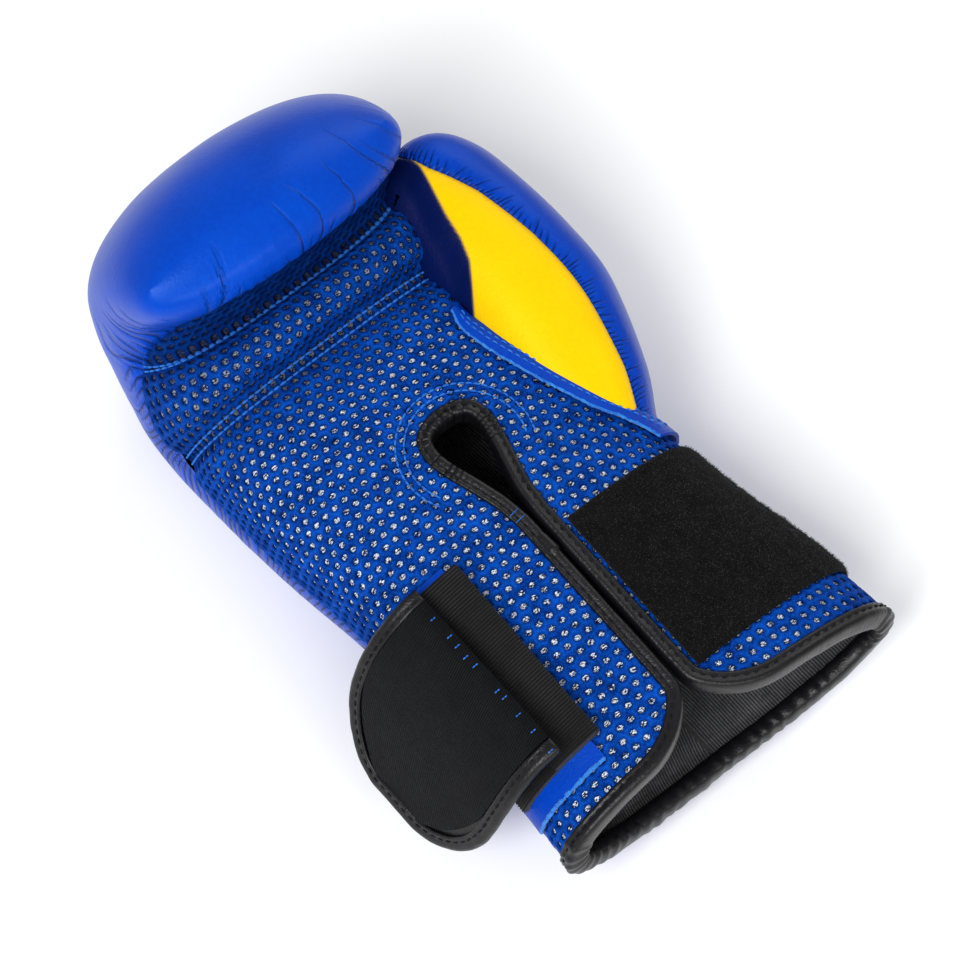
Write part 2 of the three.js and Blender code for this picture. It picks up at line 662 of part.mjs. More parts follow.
// Leather tab and folded elastic on the little finger side
const STRAP_LOW = 0.080;
const strapShare = (f) => STRAP_LOW + f * STRAP_WIDTH / REACH;
const FOLD = -0.290;
const tabSheet = lattice(4, 10, (j, i) => {
  const share = lerp(STRAP_LOW - 0.027, strapShare(1) + 2 / REACH, j / 4);
  const t = rowAt(share);
  return { t, a: lerp(angleAt(t, (FOLD - 0.025) * SPREAD), 178, i / 10) };
});
add('strap_tab', lay(tabSheet, LEATHER), BLUE, 0.4);

const LOWER = LIFT + LEATHER + 2 * GAP;
const UPPER = LOWER + STRAP + 2 * GAP;
function foldProfile(share) {
  const t = rowAt(share);
  const aFold = angleAt(t, FOLD * SPREAD);
  const outerSide = [];
  const innerSide = [];
  for (let i = 0; i <= 6; i++) {
    const a = lerp(168, aFold, i / 6);
    outerSide.push(hand(t, a, -LOWER));
    innerSide.push(hand(t, a, -LOWER - STRAP));
  }
  const turn = hand(t, aFold, -(LOWER + UPPER + STRAP) / 2);
  const r = (UPPER + STRAP - LOWER) / 2;
  const bend = [];
  const inner = [];
  for (let i = 1; i < 5; i++) {
    const q = rad(-90 + i * 36);
    bend.push(V(turn.x + r * Math.cos(q), turn.y, turn.z + r * Math.sin(q)));
    inner.push(V(turn.x + (r - STRAP) * Math.cos(q), turn.y, turn.z + (r - STRAP) * Math.sin(q)));
  }
  const back = [];
  const backInner = [];
  for (let i = 0; i <= 3; i++) {
    const a = lerp(aFold, angleAt(t, -0.405 * SPREAD), i / 3);
    back.push(hand(t, a, -UPPER - STRAP));
    backInner.push(hand(t, a, -UPPER));
  }
  return [...outerSide, ...bend, ...back, ...backInner.reverse(), ...inner.reverse(),
    ...innerSide.reverse()];
}
const elastic = [0, 0.25, 0.5, 0.75, 1].map((f) => foldProfile(strapShare(f)));
function prism(rings) {
  const m = rings[0].length;
  const points = rings.flat();
  const triangles = [];
  for (let j = 0; j + 1 < rings.length; j++) {
    for (let i = 0; i < m; i++) {
      const a = j * m + i;
      const b = j * m + (i + 1) % m;
      triangles.push([a, b, b + m], [a, b + m, a + m]);
    }
  }
  const top = (rings.length - 1) * m;
  for (let i = 0; i + 1 < m / 2; i++) {
    const [a, b, c, d] = [i, i + 1, m - 2 - i, m - 1 - i];
    triangles.push([b, a, d], [b, d, c], [top + a, top + b, top + d], [top + b, top + c, top + d]);
  }
  return build(points, triangles);
}
add('strap_elastic', prism(elastic), SOFT_BLACK, 0.8);

// Hook panel hanging off the little finger side: leather back, hook patch, binding
const panelMiddle = (STRAP_LOW + 0.5 * STRAP_WIDTH / REACH) * REACH - Y0;
function panelPoint(t, f, lift) {
  const r = row(PANEL, t);
  const q = row(PANEL, Math.min(t + 0.05, PANEL.length - 1));
  const p = row(PANEL, Math.max(t - 0.05, 0));
  const dx = (q[0] - p[0]) * SPREAD;
  const dz = (q[1] - p[1]) * STAND;
  const len = Math.hypot(dx, dz);
  const side = f < 0 ? r[2] : r[3];
  const sag = 0.008 * STAND * Math.cos(f * 1.5);
  return V(r[0] * SPREAD + lift * dz / len, panelMiddle + f * 2 * side * STRAP_WIDTH / 2,
    r[1] * STAND + sag - lift * dx / len);
}
const ROWS = 9;
const hangSheet = (start, end, width) => lattice(ROWS, 4, (j, i) => ({
  t: lerp(start, end, (j / ROWS) ** 0.9), f: lerp(-width, width, i / 4) }));
const BASE = 1.2;
const PANEL_HALF = 0.96;
const backSheet = hangSheet(0.1, 8, PANEL_HALF);
const leatherBack = panel(backSheet, (s) => panelPoint(s.t, s.f, BASE + LEATHER),
  (s) => panelPoint(s.t, s.f, BASE));
add('strap_panel', leatherBack, SOFT_BLACK, 0.45);

// Edge of the hanging panel, and strips swept along it
const EDGE_LAP = 4.4;
const EDGE = 1.1;
const edgeSpots = [];
for (let j = 0; j <= ROWS; j++) edgeSpots.push({ ...backSheet.spots[j * 5] });
for (let i = 1; i < 5; i++) edgeSpots.push({ ...backSheet.spots[ROWS * 5 + i] });
for (let j = ROWS - 1; j >= 0; j--) edgeSpots.push({ ...backSheet.spots[j * 5 + 4] });
function edgeRings(section) {
  const line = edgeSpots.map((s) => panelPoint(s.t, s.f, BASE + LEATHER / 2));
  const above = edgeSpots.map((s) => panelPoint(s.t, s.f, BASE + LEATHER / 2 + 1));
  const last = line.length - 1;
  return line.map((p, i) => {
    const along = line[Math.min(i + 1, last)].clone().sub(line[Math.max(i - 1, 0)]).normalize();
    const up = above[i].clone().sub(p);
    up.addScaledVector(along, -up.dot(along)).normalize();
    const out = along.clone().cross(up).normalize();
    const middleOut = V(0, panelMiddle, 0).sub(p).setX(0).setZ(0);
    if (i > ROWS / 2 && i < last - ROWS / 2) middleOut.set(1, 0, 0.6);
    if (out.dot(middleOut) > 0) out.negate();
    const ahead = line[Math.min(i + 1, last)].clone().sub(line[Math.min(i, last - 1)]).normalize();
    const mitre = 1 / Math.max(ahead.dot(along), 0.7);
    return section.map(([e, d]) => p.clone().addScaledVector(out, e * mitre).addScaledVector(up, d));
  });
}
const half0 = LEATHER / 2 + 2 * GAP;
const edgeLap = [
  [-EDGE_LAP, half0 + EDGE * 0.8], [0.2, half0 + EDGE], [GAP + EDGE, 0],
  [0.2, -half0 - EDGE], [-EDGE_LAP, -half0 - EDGE * 0.8],
  [-EDGE_LAP, -half0], [GAP, -half0], [GAP, 0], [GAP, half0], [-EDGE_LAP, half0],
];
add('strap_binding', prism(edgeRings(edgeLap)), SOFT_BLACK, 0.45);
const hookSheet = lattice(ROWS, 4, (j, i) => {
  const t = lerp(0.15, 6.75, j / ROWS);
  const r = row(PANEL, t);
  const lap = (EDGE_LAP + 3 * GAP) * lerp(1, 2.2, clamp((t - 4.2) / 2.4, 0, 1));
  const w = PANEL_HALF - lap / (Math.min(r[2], r[3]) * STRAP_WIDTH);
  return { t, f: lerp(-w, w, i / 4) };
});
add('hook_patch', panel(hookSheet, (s) => panelPoint(s.t, s.f, BASE + LEATHER + GAP + 1.2),
  (s) => panelPoint(s.t, s.f, BASE + LEATHER + GAP)), BLACK, 0.9);

export default group;
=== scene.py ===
# %% [markdown]
# # A boxing glove, palm up
# The glove is a padded leather shell for a right hand. It lies on its back, so the
# camera looks down on the mesh palm, the rolled fist, the thumb and the open strap.
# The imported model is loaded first. It fixes where every piece is and how big it is.

# %% Load the frame
import bpy
import math
import numpy as np
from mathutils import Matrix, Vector
from mathutils.bvhtree import BVHTree
from mathutils.kdtree import KDTree


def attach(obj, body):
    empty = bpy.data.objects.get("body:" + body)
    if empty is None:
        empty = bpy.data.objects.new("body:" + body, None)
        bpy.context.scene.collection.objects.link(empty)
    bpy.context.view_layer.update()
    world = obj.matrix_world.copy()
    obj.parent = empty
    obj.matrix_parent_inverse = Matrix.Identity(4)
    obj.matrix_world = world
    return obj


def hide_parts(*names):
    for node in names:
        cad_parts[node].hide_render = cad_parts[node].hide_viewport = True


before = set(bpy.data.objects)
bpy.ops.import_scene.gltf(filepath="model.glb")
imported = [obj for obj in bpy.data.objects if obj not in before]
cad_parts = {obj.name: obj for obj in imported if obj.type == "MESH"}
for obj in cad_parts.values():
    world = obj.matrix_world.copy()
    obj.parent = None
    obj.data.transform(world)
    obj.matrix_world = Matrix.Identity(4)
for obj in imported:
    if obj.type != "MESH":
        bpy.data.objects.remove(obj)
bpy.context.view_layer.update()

print("frame nodes:", len(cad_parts))

# %% [markdown]
# ## Sizes and tables
# A glove has no flat faces to measure from, so its maker works from a last, a
# carved hand form. Here the last is a table of cross sections. Working from the
# same table as the solids keeps every seam and edge where the solids have it.
# Lengths are millimetres until the moment a mesh is made.

# %% Sizes and tables
REACH, STAND, SPREAD = 275.0, 132.0, 145.0
Y0 = REACH * 0.575
CROWN, SLIT, KEYHOLE = 0.07, 5.6, 22.0
MESH, LINING, LEATHER, GAP = 3.0, 1.2, 1.3, 0.3
STRAP_WIDTH, STRAP, PATCH = 76.0, 1.9, 1.6
CORNER = SLIT * 4.6
# x of the loop patch's edge at the slit, as a share of SPREAD
PATCH_EDGE = -0.012
# palm y, palm z, back y, back z, half width, middle x, palm and back fullness
HAND = np.array([
    [-0.0536, 0.528, -0.0536, 0.104, 0.497, -0.010, 2.3, 2.2],
    [0.0153, 0.528, 0.0153, 0.096, 0.490, -0.017, 2.3, 2.2],
    [0.1149, 0.536, 0.1073, 0.072, 0.473, -0.019, 2.4, 2.2],
    [0.2490, 0.552, 0.2529, 0.032, 0.453, -0.051, 2.6, 2.3],
    [0.3831, 0.568, 0.3985, 0.008, 0.442, -0.072, 2.8, 2.4],
    [0.5172, 0.568, 0.5441, -0.016, 0.442, -0.101, 3.0, 2.5],
    [0.6245, 0.560, 0.6667, -0.024, 0.435, -0.123, 3.0, 2.5],
    [0.6935, 0.560, 0.7663, -0.016, 0.431, -0.134, 3.0, 2.5],
    [0.7126, 0.624, 0.8467, 0.016, 0.428, -0.138, 2.8, 2.5],
    [0.7395, 0.656, 0.9042, 0.080, 0.420, -0.134, 2.7, 2.4],
    [0.7663, 0.640, 0.9502, 0.192, 0.413, -0.130, 2.7, 2.4],
    [0.7778, 0.608, 0.9847, 0.352, 0.413, -0.127, 2.7, 2.4],
    [0.7816, 0.672, 1.0000, 0.528, 0.413, -0.123, 2.6, 2.4],
    [0.7778, 0.744, 0.9885, 0.688, 0.406, -0.123, 2.5, 2.3],
    [0.7625, 0.816, 0.9579, 0.824, 0.399, -0.123, 2.4, 2.2],
    [0.7510, 0.880, 0.9195, 0.920, 0.391, -0.123, 2.3, 2.2],
    [0.7625, 0.944, 0.8736, 0.976, 0.377, -0.123, 2.2, 2.2],
    [0.8161, 1.000, 0.8199, 1.000, 0.341, -0.123, 2.2, 2.2]])
# wall at the palm, sides and back
WALL = np.array([
    [0.019, 0.020, 0.020], [0.019, 0.020, 0.020], [0.019, 0.024, 0.032],
    [0.019, 0.028, 0.050], [0.019, 0.032, 0.065], [0.020, 0.040, 0.080],
    [0.050, 0.050, 0.095], [0.080, 0.060, 0.105], [0.130, 0.070, 0.125],
    [0.145, 0.075, 0.155], [0.130, 0.080, 0.190], [0.115, 0.085, 0.215],
    [0.115, 0.090, 0.225], [0.125, 0.110, 0.235]])
# y, middle x, middle z, half width, half height, fullness
THUMB = np.array([
    [0.299, 0.255, 0.352, 0.070, 0.100, 2.2], [0.364, 0.268, 0.360, 0.098, 0.135, 2.3],
    [0.437, 0.298, 0.372, 0.148, 0.170, 2.4], [0.544, 0.333, 0.416, 0.180, 0.192, 2.5],
    [0.632, 0.340, 0.448, 0.180, 0.200, 2.5], [0.720, 0.334, 0.480, 0.170, 0.192, 2.4],
    [0.785, 0.327, 0.512, 0.150, 0.168, 2.3], [0.828, 0.314, 0.536, 0.108, 0.120, 2.2],
    [0.852, 0.300, 0.544, 0.022, 0.024, 2.0]])
THUMB_SEAM = np.array([[0, 60], [2, 60], [3, 66], [4, 71], [5, 80], [6, 97], [7, 106], [8, 110]])
THUMB_HOLE = np.array([
    [0.330, 0.100, 0.360, 0.080, 0.090, 2.2], [0.400, 0.200, 0.360, 0.115, 0.100, 2.2],
    [0.480, 0.270, 0.385, 0.125, 0.110, 2.2], [0.560, 0.325, 0.415, 0.125, 0.110, 2.2],
    [0.640, 0.340, 0.448, 0.115, 0.105, 2.2], [0.720, 0.338, 0.480, 0.090, 0.085, 2.2],
    [0.770, 0.333, 0.500, 0.045, 0.045, 2.1]])
RIM = np.array([[-90, -0.002], [-45, -0.010], [0, -0.012], [35, -0.006], [75, 0.004],
                [100, 0.010], [145, 0.004], [180, 0.000], [225, -0.002], [270, -0.002]])
OPENING = np.array([
    [0.000, -0.066, 0.10], [0.090, -0.066, 0.00], [0.345, -0.068, 0.00],
    [0.385, -0.070, 0.16], [0.420, -0.071, 0.48], [0.455, -0.072, 0.82],
    [0.482, -0.072, 1.00], [0.500, -0.070, 0.93]])
OPENING_END = 0.519
THUMB_EDGE = np.array([
    [-0.054, -6], [0.300, -6], [0.335, 2], [0.365, 18], [0.404, 30], [0.447, 36],
    [0.500, 40], [0.568, 47], [0.615, 50], [0.640, 40], [0.660, 15], [0.680, 2]])
TRIM = np.array([
    [0.335, 0.325, 0.400], [0.385, 0.266, 0.322], [0.415, 0.232, 0.285],
    [0.463, 0.192, 0.247], [0.503, 0.166, 0.222], [0.548, 0.138, 0.190],
    [0.582, 0.125, 0.172], [0.606, 0.122, 0.160], [0.628, 0.130, 0.160]])
OUTER_EDGE = np.array([186, 186, 186, 186, 185, 183, 179, 176, 172, 168, 163, 156, 146, 135])
PANEL = np.array([
    [-0.405, 0.578, 0.50, 0.50], [-0.440, 0.572, 0.50, 0.50], [-0.490, 0.535, 0.50, 0.50],
    [-0.535, 0.480, 0.50, 0.50], [-0.575, 0.410, 0.50, 0.49], [-0.610, 0.335, 0.49, 0.46],
    [-0.643, 0.260, 0.43, 0.38], [-0.668, 0.200, 0.30, 0.27], [-0.680, 0.172, 0.16, 0.15]])
print("hand form rows:", len(HAND), "thumb rows:", len(THUMB))

# %% [markdown]
# ## The hand form as a function
# `hand(t, a)` gives a point of the glove's outside: `t` runs from the cuff to the
# top of the fist, `a` goes round, 0 at the thumb side and 90 at the palm. `skin`
# adds the direction straight out of the leather, so anything can be laid on it.

# %% Points on the hand form
def row(table, t):
    """Values of a table between its rows, on a smooth curve through them."""
    t = np.asarray(t, float)
    n = len(table)
    i = np.clip(np.floor(t).astype(int), 0, n - 2)
    f = (t - i)[..., None]
    p1, p2 = table[i], table[i + 1]
    p0 = np.where((i > 0)[..., None], table[np.maximum(i - 1, 0)], 2 * p1 - p2)
    p3 = np.where((i < n - 2)[..., None], table[np.minimum(i + 2, n - 1)], 2 * p2 - p1)
    return 0.5 * (2 * p1 + (p2 - p0) * f + (2 * p0 - 5 * p1 + 4 * p2 - p3) * f * f
                  + (3 * p1 - p0 - 3 * p2 + p3) * f ** 3)


def hand(t, a, palm=0.0, side=None, back=None):
    """A point of the outside, or one that lies below it by a wall thickness."""
    side = palm if side is None else side
    back = palm if back is None else back
    t, a = np.broadcast_arrays(np.asarray(t, float), np.asarray(a, float))
    r = row(HAND, t)
    py, pz, by, bz = r[..., 0] * REACH, r[..., 1] * STAND, r[..., 2] * REACH, r[..., 3] * STAND
    length = np.maximum(np.hypot(py - by, pz - bz), 1e-6)
    uy, uz = (py - by) / length, (pz - bz) / length
    cy = (py + by) / 2 + uy * (back - palm) / 2
    cz = (pz + bz) / 2 + uz * (back - palm) / 2
    arm = length / 2 - (palm + back) / 2
    c, s = np.cos(np.radians(a)), np.sin(np.radians(a))
    e = np.where(s >= 0, r[..., 6], r[..., 7])
    k = (np.abs(c) ** e + np.abs(s) ** e) ** (-1 / e)
    x = r[..., 5] * SPREAD + (r[..., 4] * SPREAD - side) * k * c
    drop = CROWN * STAND * (k * c) ** 2 * np.clip((t - 11) / 5, 0, 1)
    z = np.maximum(cz + uz * arm * k * s - drop, np.maximum(back, 0))
    return np.stack([x, cy + uy * arm * k * s - Y0, z], -1)


def unit(v):
    return v / np.maximum(np.linalg.norm(v, axis=-1, keepdims=True), 1e-9)


def skin(t, a):
    """A point of the outside and the direction straight out of it."""
    t, a = np.broadcast_arrays(np.asarray(t, float), np.asarray(a, float))
    along = hand(t + 0.02, a) - hand(t - 0.02, a)
    around = hand(t, a + 1) - hand(t, a - 1)
    return hand(t, a), unit(np.cross(along, around))


print("fist stands", round(float(hand(16.9, 90)[2]), 1), "mm high")


# %% Thumb form, places on the cuff and noise
def tube(table, t, a, inset=0.0):
    """A point of the thumb's form or of the pocket in it."""
    t, a = np.broadcast_arrays(np.asarray(t, float), np.asarray(a, float))
    r = row(table, t)
    c, s = np.cos(np.radians(a)), np.sin(np.radians(a))
    e = r[..., 5]
    k = (np.abs(c) ** e + np.abs(s) ** e) ** (-1 / e)
    w = np.maximum(r[..., 3] * SPREAD - inset, 0.4)
    h = np.maximum(r[..., 4] * STAND - inset, 0.4)
    return np.stack([r[..., 1] * SPREAD + w * k * c, r[..., 0] * REACH - Y0,
                     r[..., 2] * STAND + h * k * s], -1)


SHARE_T = np.linspace(0, 7, 1401)
SHARES = row(HAND, SHARE_T)[:, 0]


def row_at(share):
    """Row at which the palm side is at a share of the glove's reach."""
    return np.interp(share, SHARES, SHARE_T)


def angle_at(t, x):
    """Angle at which the palm side of a row has that x."""
    r = row(HAND, t)
    q = np.clip((x - r[..., 5] * SPREAD) / (r[..., 4] * SPREAD), -0.999, 0.999)
    z = (1 - np.abs(q) ** r[..., 6]) ** (1 / r[..., 6])
    return np.degrees(np.arctan2(z, q))


def smooth(v, low, high):
    """From 0 at low to 1 at high, with soft ends."""
    f = np.clip((v - low) / (high - low), 0, 1)
    return f * f * (3 - 2 * f)


def rough(points, size, seed=0):
    """Smooth noise from -1 to 1 with lumps of about that size."""
    q = np.asarray(points, float) / size
    i = np.floor(q).astype(np.int64)
    f = q - i
    f = f * f * (3 - 2 * f)
    total = 0.0
    for corner in range(8):
        d = np.array([corner & 1, corner >> 1 & 1, corner >> 2 & 1])
        c = i + d
        h = (c[..., 0] * 73856093 ^ c[..., 1] * 19349663 ^ c[..., 2] * 83492791) + seed * 7919
        h = ((h ^ (h >> 13)) * 1274126177) & 0xffffffff
        v = ((h ^ (h >> 15)) & 0xffff) / 32767.5 - 1
        total = total + v * np.prod(np.where(d == 1, f, 1 - f), axis=-1)
    return total


print("thumb reaches", round(float(tube(THUMB, 8, 90)[1] + Y0)), "mm up from the cuff")

# %% [markdown]
# ## Making meshes
# Most pieces are grids: rows and columns of points that follow the form. A grid
# can be a single skin, or a slab with a top, a bottom and walls, as cut leather
# has. Small helpers turn them into objects, so each piece below stays short.

# %% Mesh helpers
def grid_faces(rows, columns, closed=False, start=0, flip=False):
    """Quads of a grid of points that are counted row by row."""
    j, i = np.meshgrid(np.arange(rows - 1), np.arange(columns if closed else columns - 1),
                       indexing="ij")
    k = (i + 1) % columns
    quads = np.stack([j * columns + i, j * columns + k, (j + 1) * columns + k,
                      (j + 1) * columns + i], -1).reshape(-1, 4) + start
    return quads[:, ::-1] if flip else quads


def make(name, points, faces, material, values=None, sharp=None):
    """An object from points in millimetres, which rides on the glove."""
    mesh = bpy.data.meshes.new(name)
    mesh.from_pydata((np.asarray(points).reshape(-1, 3) * 0.001).tolist(), [],
                     [list(map(int, f)) for f in faces])
    mesh.polygons.foreach_set("use_smooth", np.ones(len(mesh.polygons), bool))
    for key, numbers in (values or {}).items():
        spot = mesh.attributes.new(key, "FLOAT", "POINT")
        spot.data.foreach_set("value", np.asarray(numbers, np.float32).ravel())
    if sharp:
        mesh.set_sharp_from_angle(angle=math.radians(sharp))
    mesh.validate()
    mesh.materials.append(material)
    piece = bpy.data.objects.new(name, mesh)
    bpy.context.scene.collection.objects.link(piece)
    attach(piece, "root")
    count = sum(len(p.vertices) - 2 for p in mesh.polygons)
    print(f"{name}: {count} triangles")
    return piece


def outward(points, faces):
    """The same closed faces, all turned to look out."""
    p, q = np.asarray(points).reshape(-1, 3), np.asarray(faces)
    a, b, c, d = (p[q[:, k]] for k in range(4))
    volume = np.sum(np.cross(a, b) * c) + np.sum(np.cross(a, c) * d)
    return q if volume > 0 else q[:, ::-1]


def slab(top, bottom):
    """Closed piece between two grids of points."""
    rows, columns = top.shape[:2]
    n = rows * columns
    faces = [grid_faces(rows, columns), grid_faces(rows, columns, start=n, flip=True)]
    edge = ([(0, i) for i in range(columns)] + [(j, columns - 1) for j in range(1, rows)]
            + [(rows - 1, i) for i in range(columns - 2, -1, -1)]
            + [(j, 0) for j in range(rows - 2, 0, -1)])
    ids = np.array([j * columns + i for j, i in edge])
    nxt = np.roll(ids, -1)
    faces.append(np.stack([nxt, ids, ids + n, nxt + n], -1))
    points = np.concatenate([top.reshape(-1, 3), bottom.reshape(-1, 3)])
    return points, outward(points, np.concatenate(faces))


def normals_of(grid):
    """Upward directions of a grid whose rows run along and columns run across."""
    along = np.gradient(grid, axis=0)
    across = np.gradient(grid, axis=1)
    return unit(np.cross(along, across))


def even(line, step, closed=False, extra=()):
    """The same line with points a fixed step apart, and extra values carried along."""
    points = np.concatenate([line, line[:1]]) if closed else line
    s = np.concatenate([[0], np.cumsum(np.linalg.norm(np.diff(points, axis=0), axis=1))])
    n = max(int(round(s[-1] / step)), 2)
    at = np.linspace(0, s[-1], n + 1)
    at = at[:-1] if closed else at
    out = [np.stack([np.interp(at, s, points[:, k]) for k in range(3)], -1), at]
    for e in extra:
        e = np.concatenate([e, e[:1]]) if closed else e
        out.append(np.stack([np.interp(at, s, e[:, k]) for k in range(3)], -1))
    return out


def sweep(line, out, up, section, closed=False):
    """Rings of a section, given as steps out and up, along a line."""
    e = np.asarray(section, float)
    rings = line[:, None] + out[:, None] * e[None, :, 0:1] + up[:, None] * e[None, :, 1:2]
    n, m = rings.shape[:2]
    faces = [grid_faces(n, m, closed=True)]
    if closed:
        last = np.arange(m) + (n - 1) * m
        first = np.arange(m)
        faces.append(np.stack([last, np.roll(last, -1), np.roll(first, -1), first], -1))
    return rings, faces


# %% [markdown]
# ## Shared effects
# Leather, yarn and woven tape each show the same kind of relief in several places.
# Each effect is one node group that puts out a height and a tone; the pleats put out
# a painted shade for their creases in place of a tone. A material adds its own size
# and strength, so blue, yellow and black leather are kin but not twins.

# %% Node helpers
def put(tree, kind, inputs=None, **settings):
    """A shader node with its inputs and settings."""
    n = tree.nodes.new("ShaderNode" + kind)
    for key, value in settings.items():
        setattr(n, key, value)
    for key, value in (inputs or {}).items():
        n.inputs[key].default_value = value
    return n


def group(name, ins, outs):
    """An empty node group with its sockets."""
    g = bpy.data.node_groups.new(name, "ShaderNodeTree")
    for label, kind, value in ins:
        s = g.interface.new_socket(label, in_out="INPUT", socket_type="NodeSocket" + kind)
        if value is not None:
            s.default_value = value
    for label, kind in outs:
        g.interface.new_socket(label, in_out="OUTPUT", socket_type="NodeSocket" + kind)
    return g, g.nodes.new("NodeGroupInput"), g.nodes.new("NodeGroupOutput")


def maths(tree, operation, a, b=None, clamp=False):
    """One sum with numbers or sockets."""
    n = put(tree, "Math", operation=operation, use_clamp=clamp)
    for i, v in enumerate((a, b)):
        if v is None:
            continue
        if isinstance(v, (int, float)):
            n.inputs[i].default_value = v
        else:
            tree.links.new(v, n.inputs[i])
    return n.outputs[0]


# %% Leather grain, yarn and rib groups
def leather_grain():
    g, a, z = group("leather_grain", [("Vector", "Vector", None), ("Pore", "Float", 0.9)],
                    [("Height", "Float"), ("Tone", "Float")])
    scale = maths(g, "DIVIDE", 1000.0, a.outputs["Pore"])
    pores = put(g, "TexVoronoi", {"Randomness": 1.0}, feature="SMOOTH_F1")
    fine = put(g, "TexNoise", {"Detail": 3.0})
    broad = put(g, "TexNoise", {"Scale": 38.0, "Detail": 2.0})
    for t in (pores, fine, broad):
        g.links.new(a.outputs["Vector"], t.inputs["Vector"])
    g.links.new(scale, pores.inputs["Scale"])
    g.links.new(maths(g, "MULTIPLY", scale, 0.45), fine.inputs["Scale"])
    height = maths(g, "ADD", maths(g, "MULTIPLY", pores.outputs["Distance"], 0.7),
                   maths(g, "MULTIPLY", fine.outputs[0], 0.6))
    g.links.new(height, z.inputs["Height"])
    g.links.new(maths(g, "ADD", maths(g, "MULTIPLY", fine.outputs[0], 0.4),
                      maths(g, "MULTIPLY", broad.outputs[0], 0.6)), z.inputs["Tone"])
    return g


def yarn():
    g, a, z = group("yarn", [("Vector", "Vector", None), ("Size", "Float", 0.3)],
                    [("Height", "Float"), ("Tone", "Float")])
    scale = maths(g, "DIVIDE", 1000.0, a.outputs["Size"])
    strand = put(g, "TexNoise", {"Detail": 4.0, "Roughness": 0.65, "Distortion": 1.6})
    broad = put(g, "TexNoise", {"Scale": 180.0, "Detail": 1.0})
    g.links.new(a.outputs["Vector"], strand.inputs["Vector"])
    g.links.new(a.outputs["Vector"], broad.inputs["Vector"])
    g.links.new(maths(g, "MULTIPLY", scale, 0.33), strand.inputs["Scale"])
    g.links.new(strand.outputs[0], z.inputs["Height"])
    g.links.new(maths(g, "ADD", maths(g, "MULTIPLY", strand.outputs[0], 0.75),
                      maths(g, "MULTIPLY", broad.outputs[0], 0.25)), z.inputs["Tone"])
    return g


def ribs():
    g, a, z = group("ribs", [("Across", "Float", 0.0), ("Along", "Float", 0.0),
                             ("Pitch", "Float", 1.0), ("Twist", "Float", 0.0)],
                    [("Height", "Float"), ("Tone", "Float")])
    lean = maths(g, "ADD", a.outputs["Across"],
                 maths(g, "MULTIPLY", a.outputs["Along"], a.outputs["Twist"]))
    turn = maths(g, "MULTIPLY", maths(g, "DIVIDE", lean, a.outputs["Pitch"]), math.tau)
    wave = maths(g, "ADD", maths(g, "MULTIPLY", maths(g, "SINE", turn), 0.5), 0.5)
    cross = maths(g, "MULTIPLY", maths(g, "DIVIDE", a.outputs["Along"], a.outputs["Pitch"]),
                  math.tau * 1.7)
    weft = maths(g, "ADD", maths(g, "MULTIPLY", maths(g, "SINE", cross), 0.12), 0.12)
    g.links.new(maths(g, "ADD", wave, weft), z.inputs["Height"])
    g.links.new(maths(g, "ADD", maths(g, "MULTIPLY", wave, 0.8), weft), z.inputs["Tone"])
    return g


def pleats():
    g, a, z = group("pleats", [("Along", "Float", 0.0), ("Away", "Float", 0.0),
                               ("Pitch", "Float", 4.0), ("Reach", "Float", 18.0)],
                    [("Height", "Float"), ("Shade", "Float")])
    along, away, pitch = (a.outputs[k] for k in ("Along", "Away", "Pitch"))
    where = put(g, "CombineXYZ")
    g.links.new(maths(g, "DIVIDE", along, 24.0), where.inputs[0])
    g.links.new(maths(g, "DIVIDE", away, 26.0), where.inputs[1])
    wander = put(g, "TexNoise", {"Scale": 1.0, "Detail": 0.0}, noise_dimensions="2D")
    g.links.new(where.outputs[0], wander.inputs["Vector"])
    bend = maths(g, "MULTIPLY", maths(g, "SUBTRACT", wander.outputs[0], 0.5), 16.0)
    s = maths(g, "DIVIDE", maths(g, "ADD", along, bend), pitch)
    cell = maths(g, "FLOOR", s)
    own = put(g, "TexWhiteNoise", noise_dimensions="1D")
    g.links.new(cell, own.inputs["W"])
    off = maths(g, "ABSOLUTE", maths(g, "SUBTRACT", maths(g, "FRACT", s), 0.5))
    line = maths(g, "SUBTRACT", 1.0, maths(g, "MULTIPLY", off, 5.0), True)
    reach = maths(g, "MULTIPLY", a.outputs["Reach"],
                  maths(g, "ADD", maths(g, "MULTIPLY", own.outputs[0], 1.1), 0.2))
    fade = maths(g, "SUBTRACT", 1.0, maths(g, "DIVIDE", maths(g, "ABSOLUTE", away), reach), True)
    shade = maths(g, "MULTIPLY", maths(g, "POWER", line, 1.4), maths(g, "POWER", fade, 0.6))
    g.links.new(shade, z.inputs["Shade"])
    swell = maths(g, "MULTIPLY", maths(g, "MULTIPLY", off, 1.6), fade)
    g.links.new(maths(g, "SUBTRACT", swell, shade), z.inputs["Height"])
    return g


GRAIN, YARN, RIBS, PLEATS = leather_grain(), yarn(), ribs(), pleats()
print("effects:", [g.name for g in (GRAIN, YARN, RIBS, PLEATS)])

# %% [markdown]
# ## Materials
# Each finish is one Principled shader. Its colour drifts a little with the grain,
# because dye never takes evenly, and a bump node carries the relief that is too
# fine for the mesh. Constant values such as sheen sit on the shader itself.

# %% Material helpers
def finish(name, roughness, specular=0.5, sheen=0.0, coat=0.0, tint=(1.0, 1.0, 1.0)):
    m = bpy.data.materials.new(name)
    m.use_nodes = True
    tree = m.node_tree
    p = tree.nodes["Principled BSDF"]
    p.inputs["Roughness"].default_value = roughness
    p.inputs["Specular IOR Level"].default_value = specular * 0.8
    p.inputs["Specular Tint"].default_value = (*tint, 1.0)
    p.inputs["Sheen Weight"].default_value = sheen
    p.inputs["Coat Weight"].default_value = coat
    p.inputs["Coat Roughness"].default_value = 0.25
    where = put(tree, "TexCoord").outputs["Object"]
    return m, tree, p, where


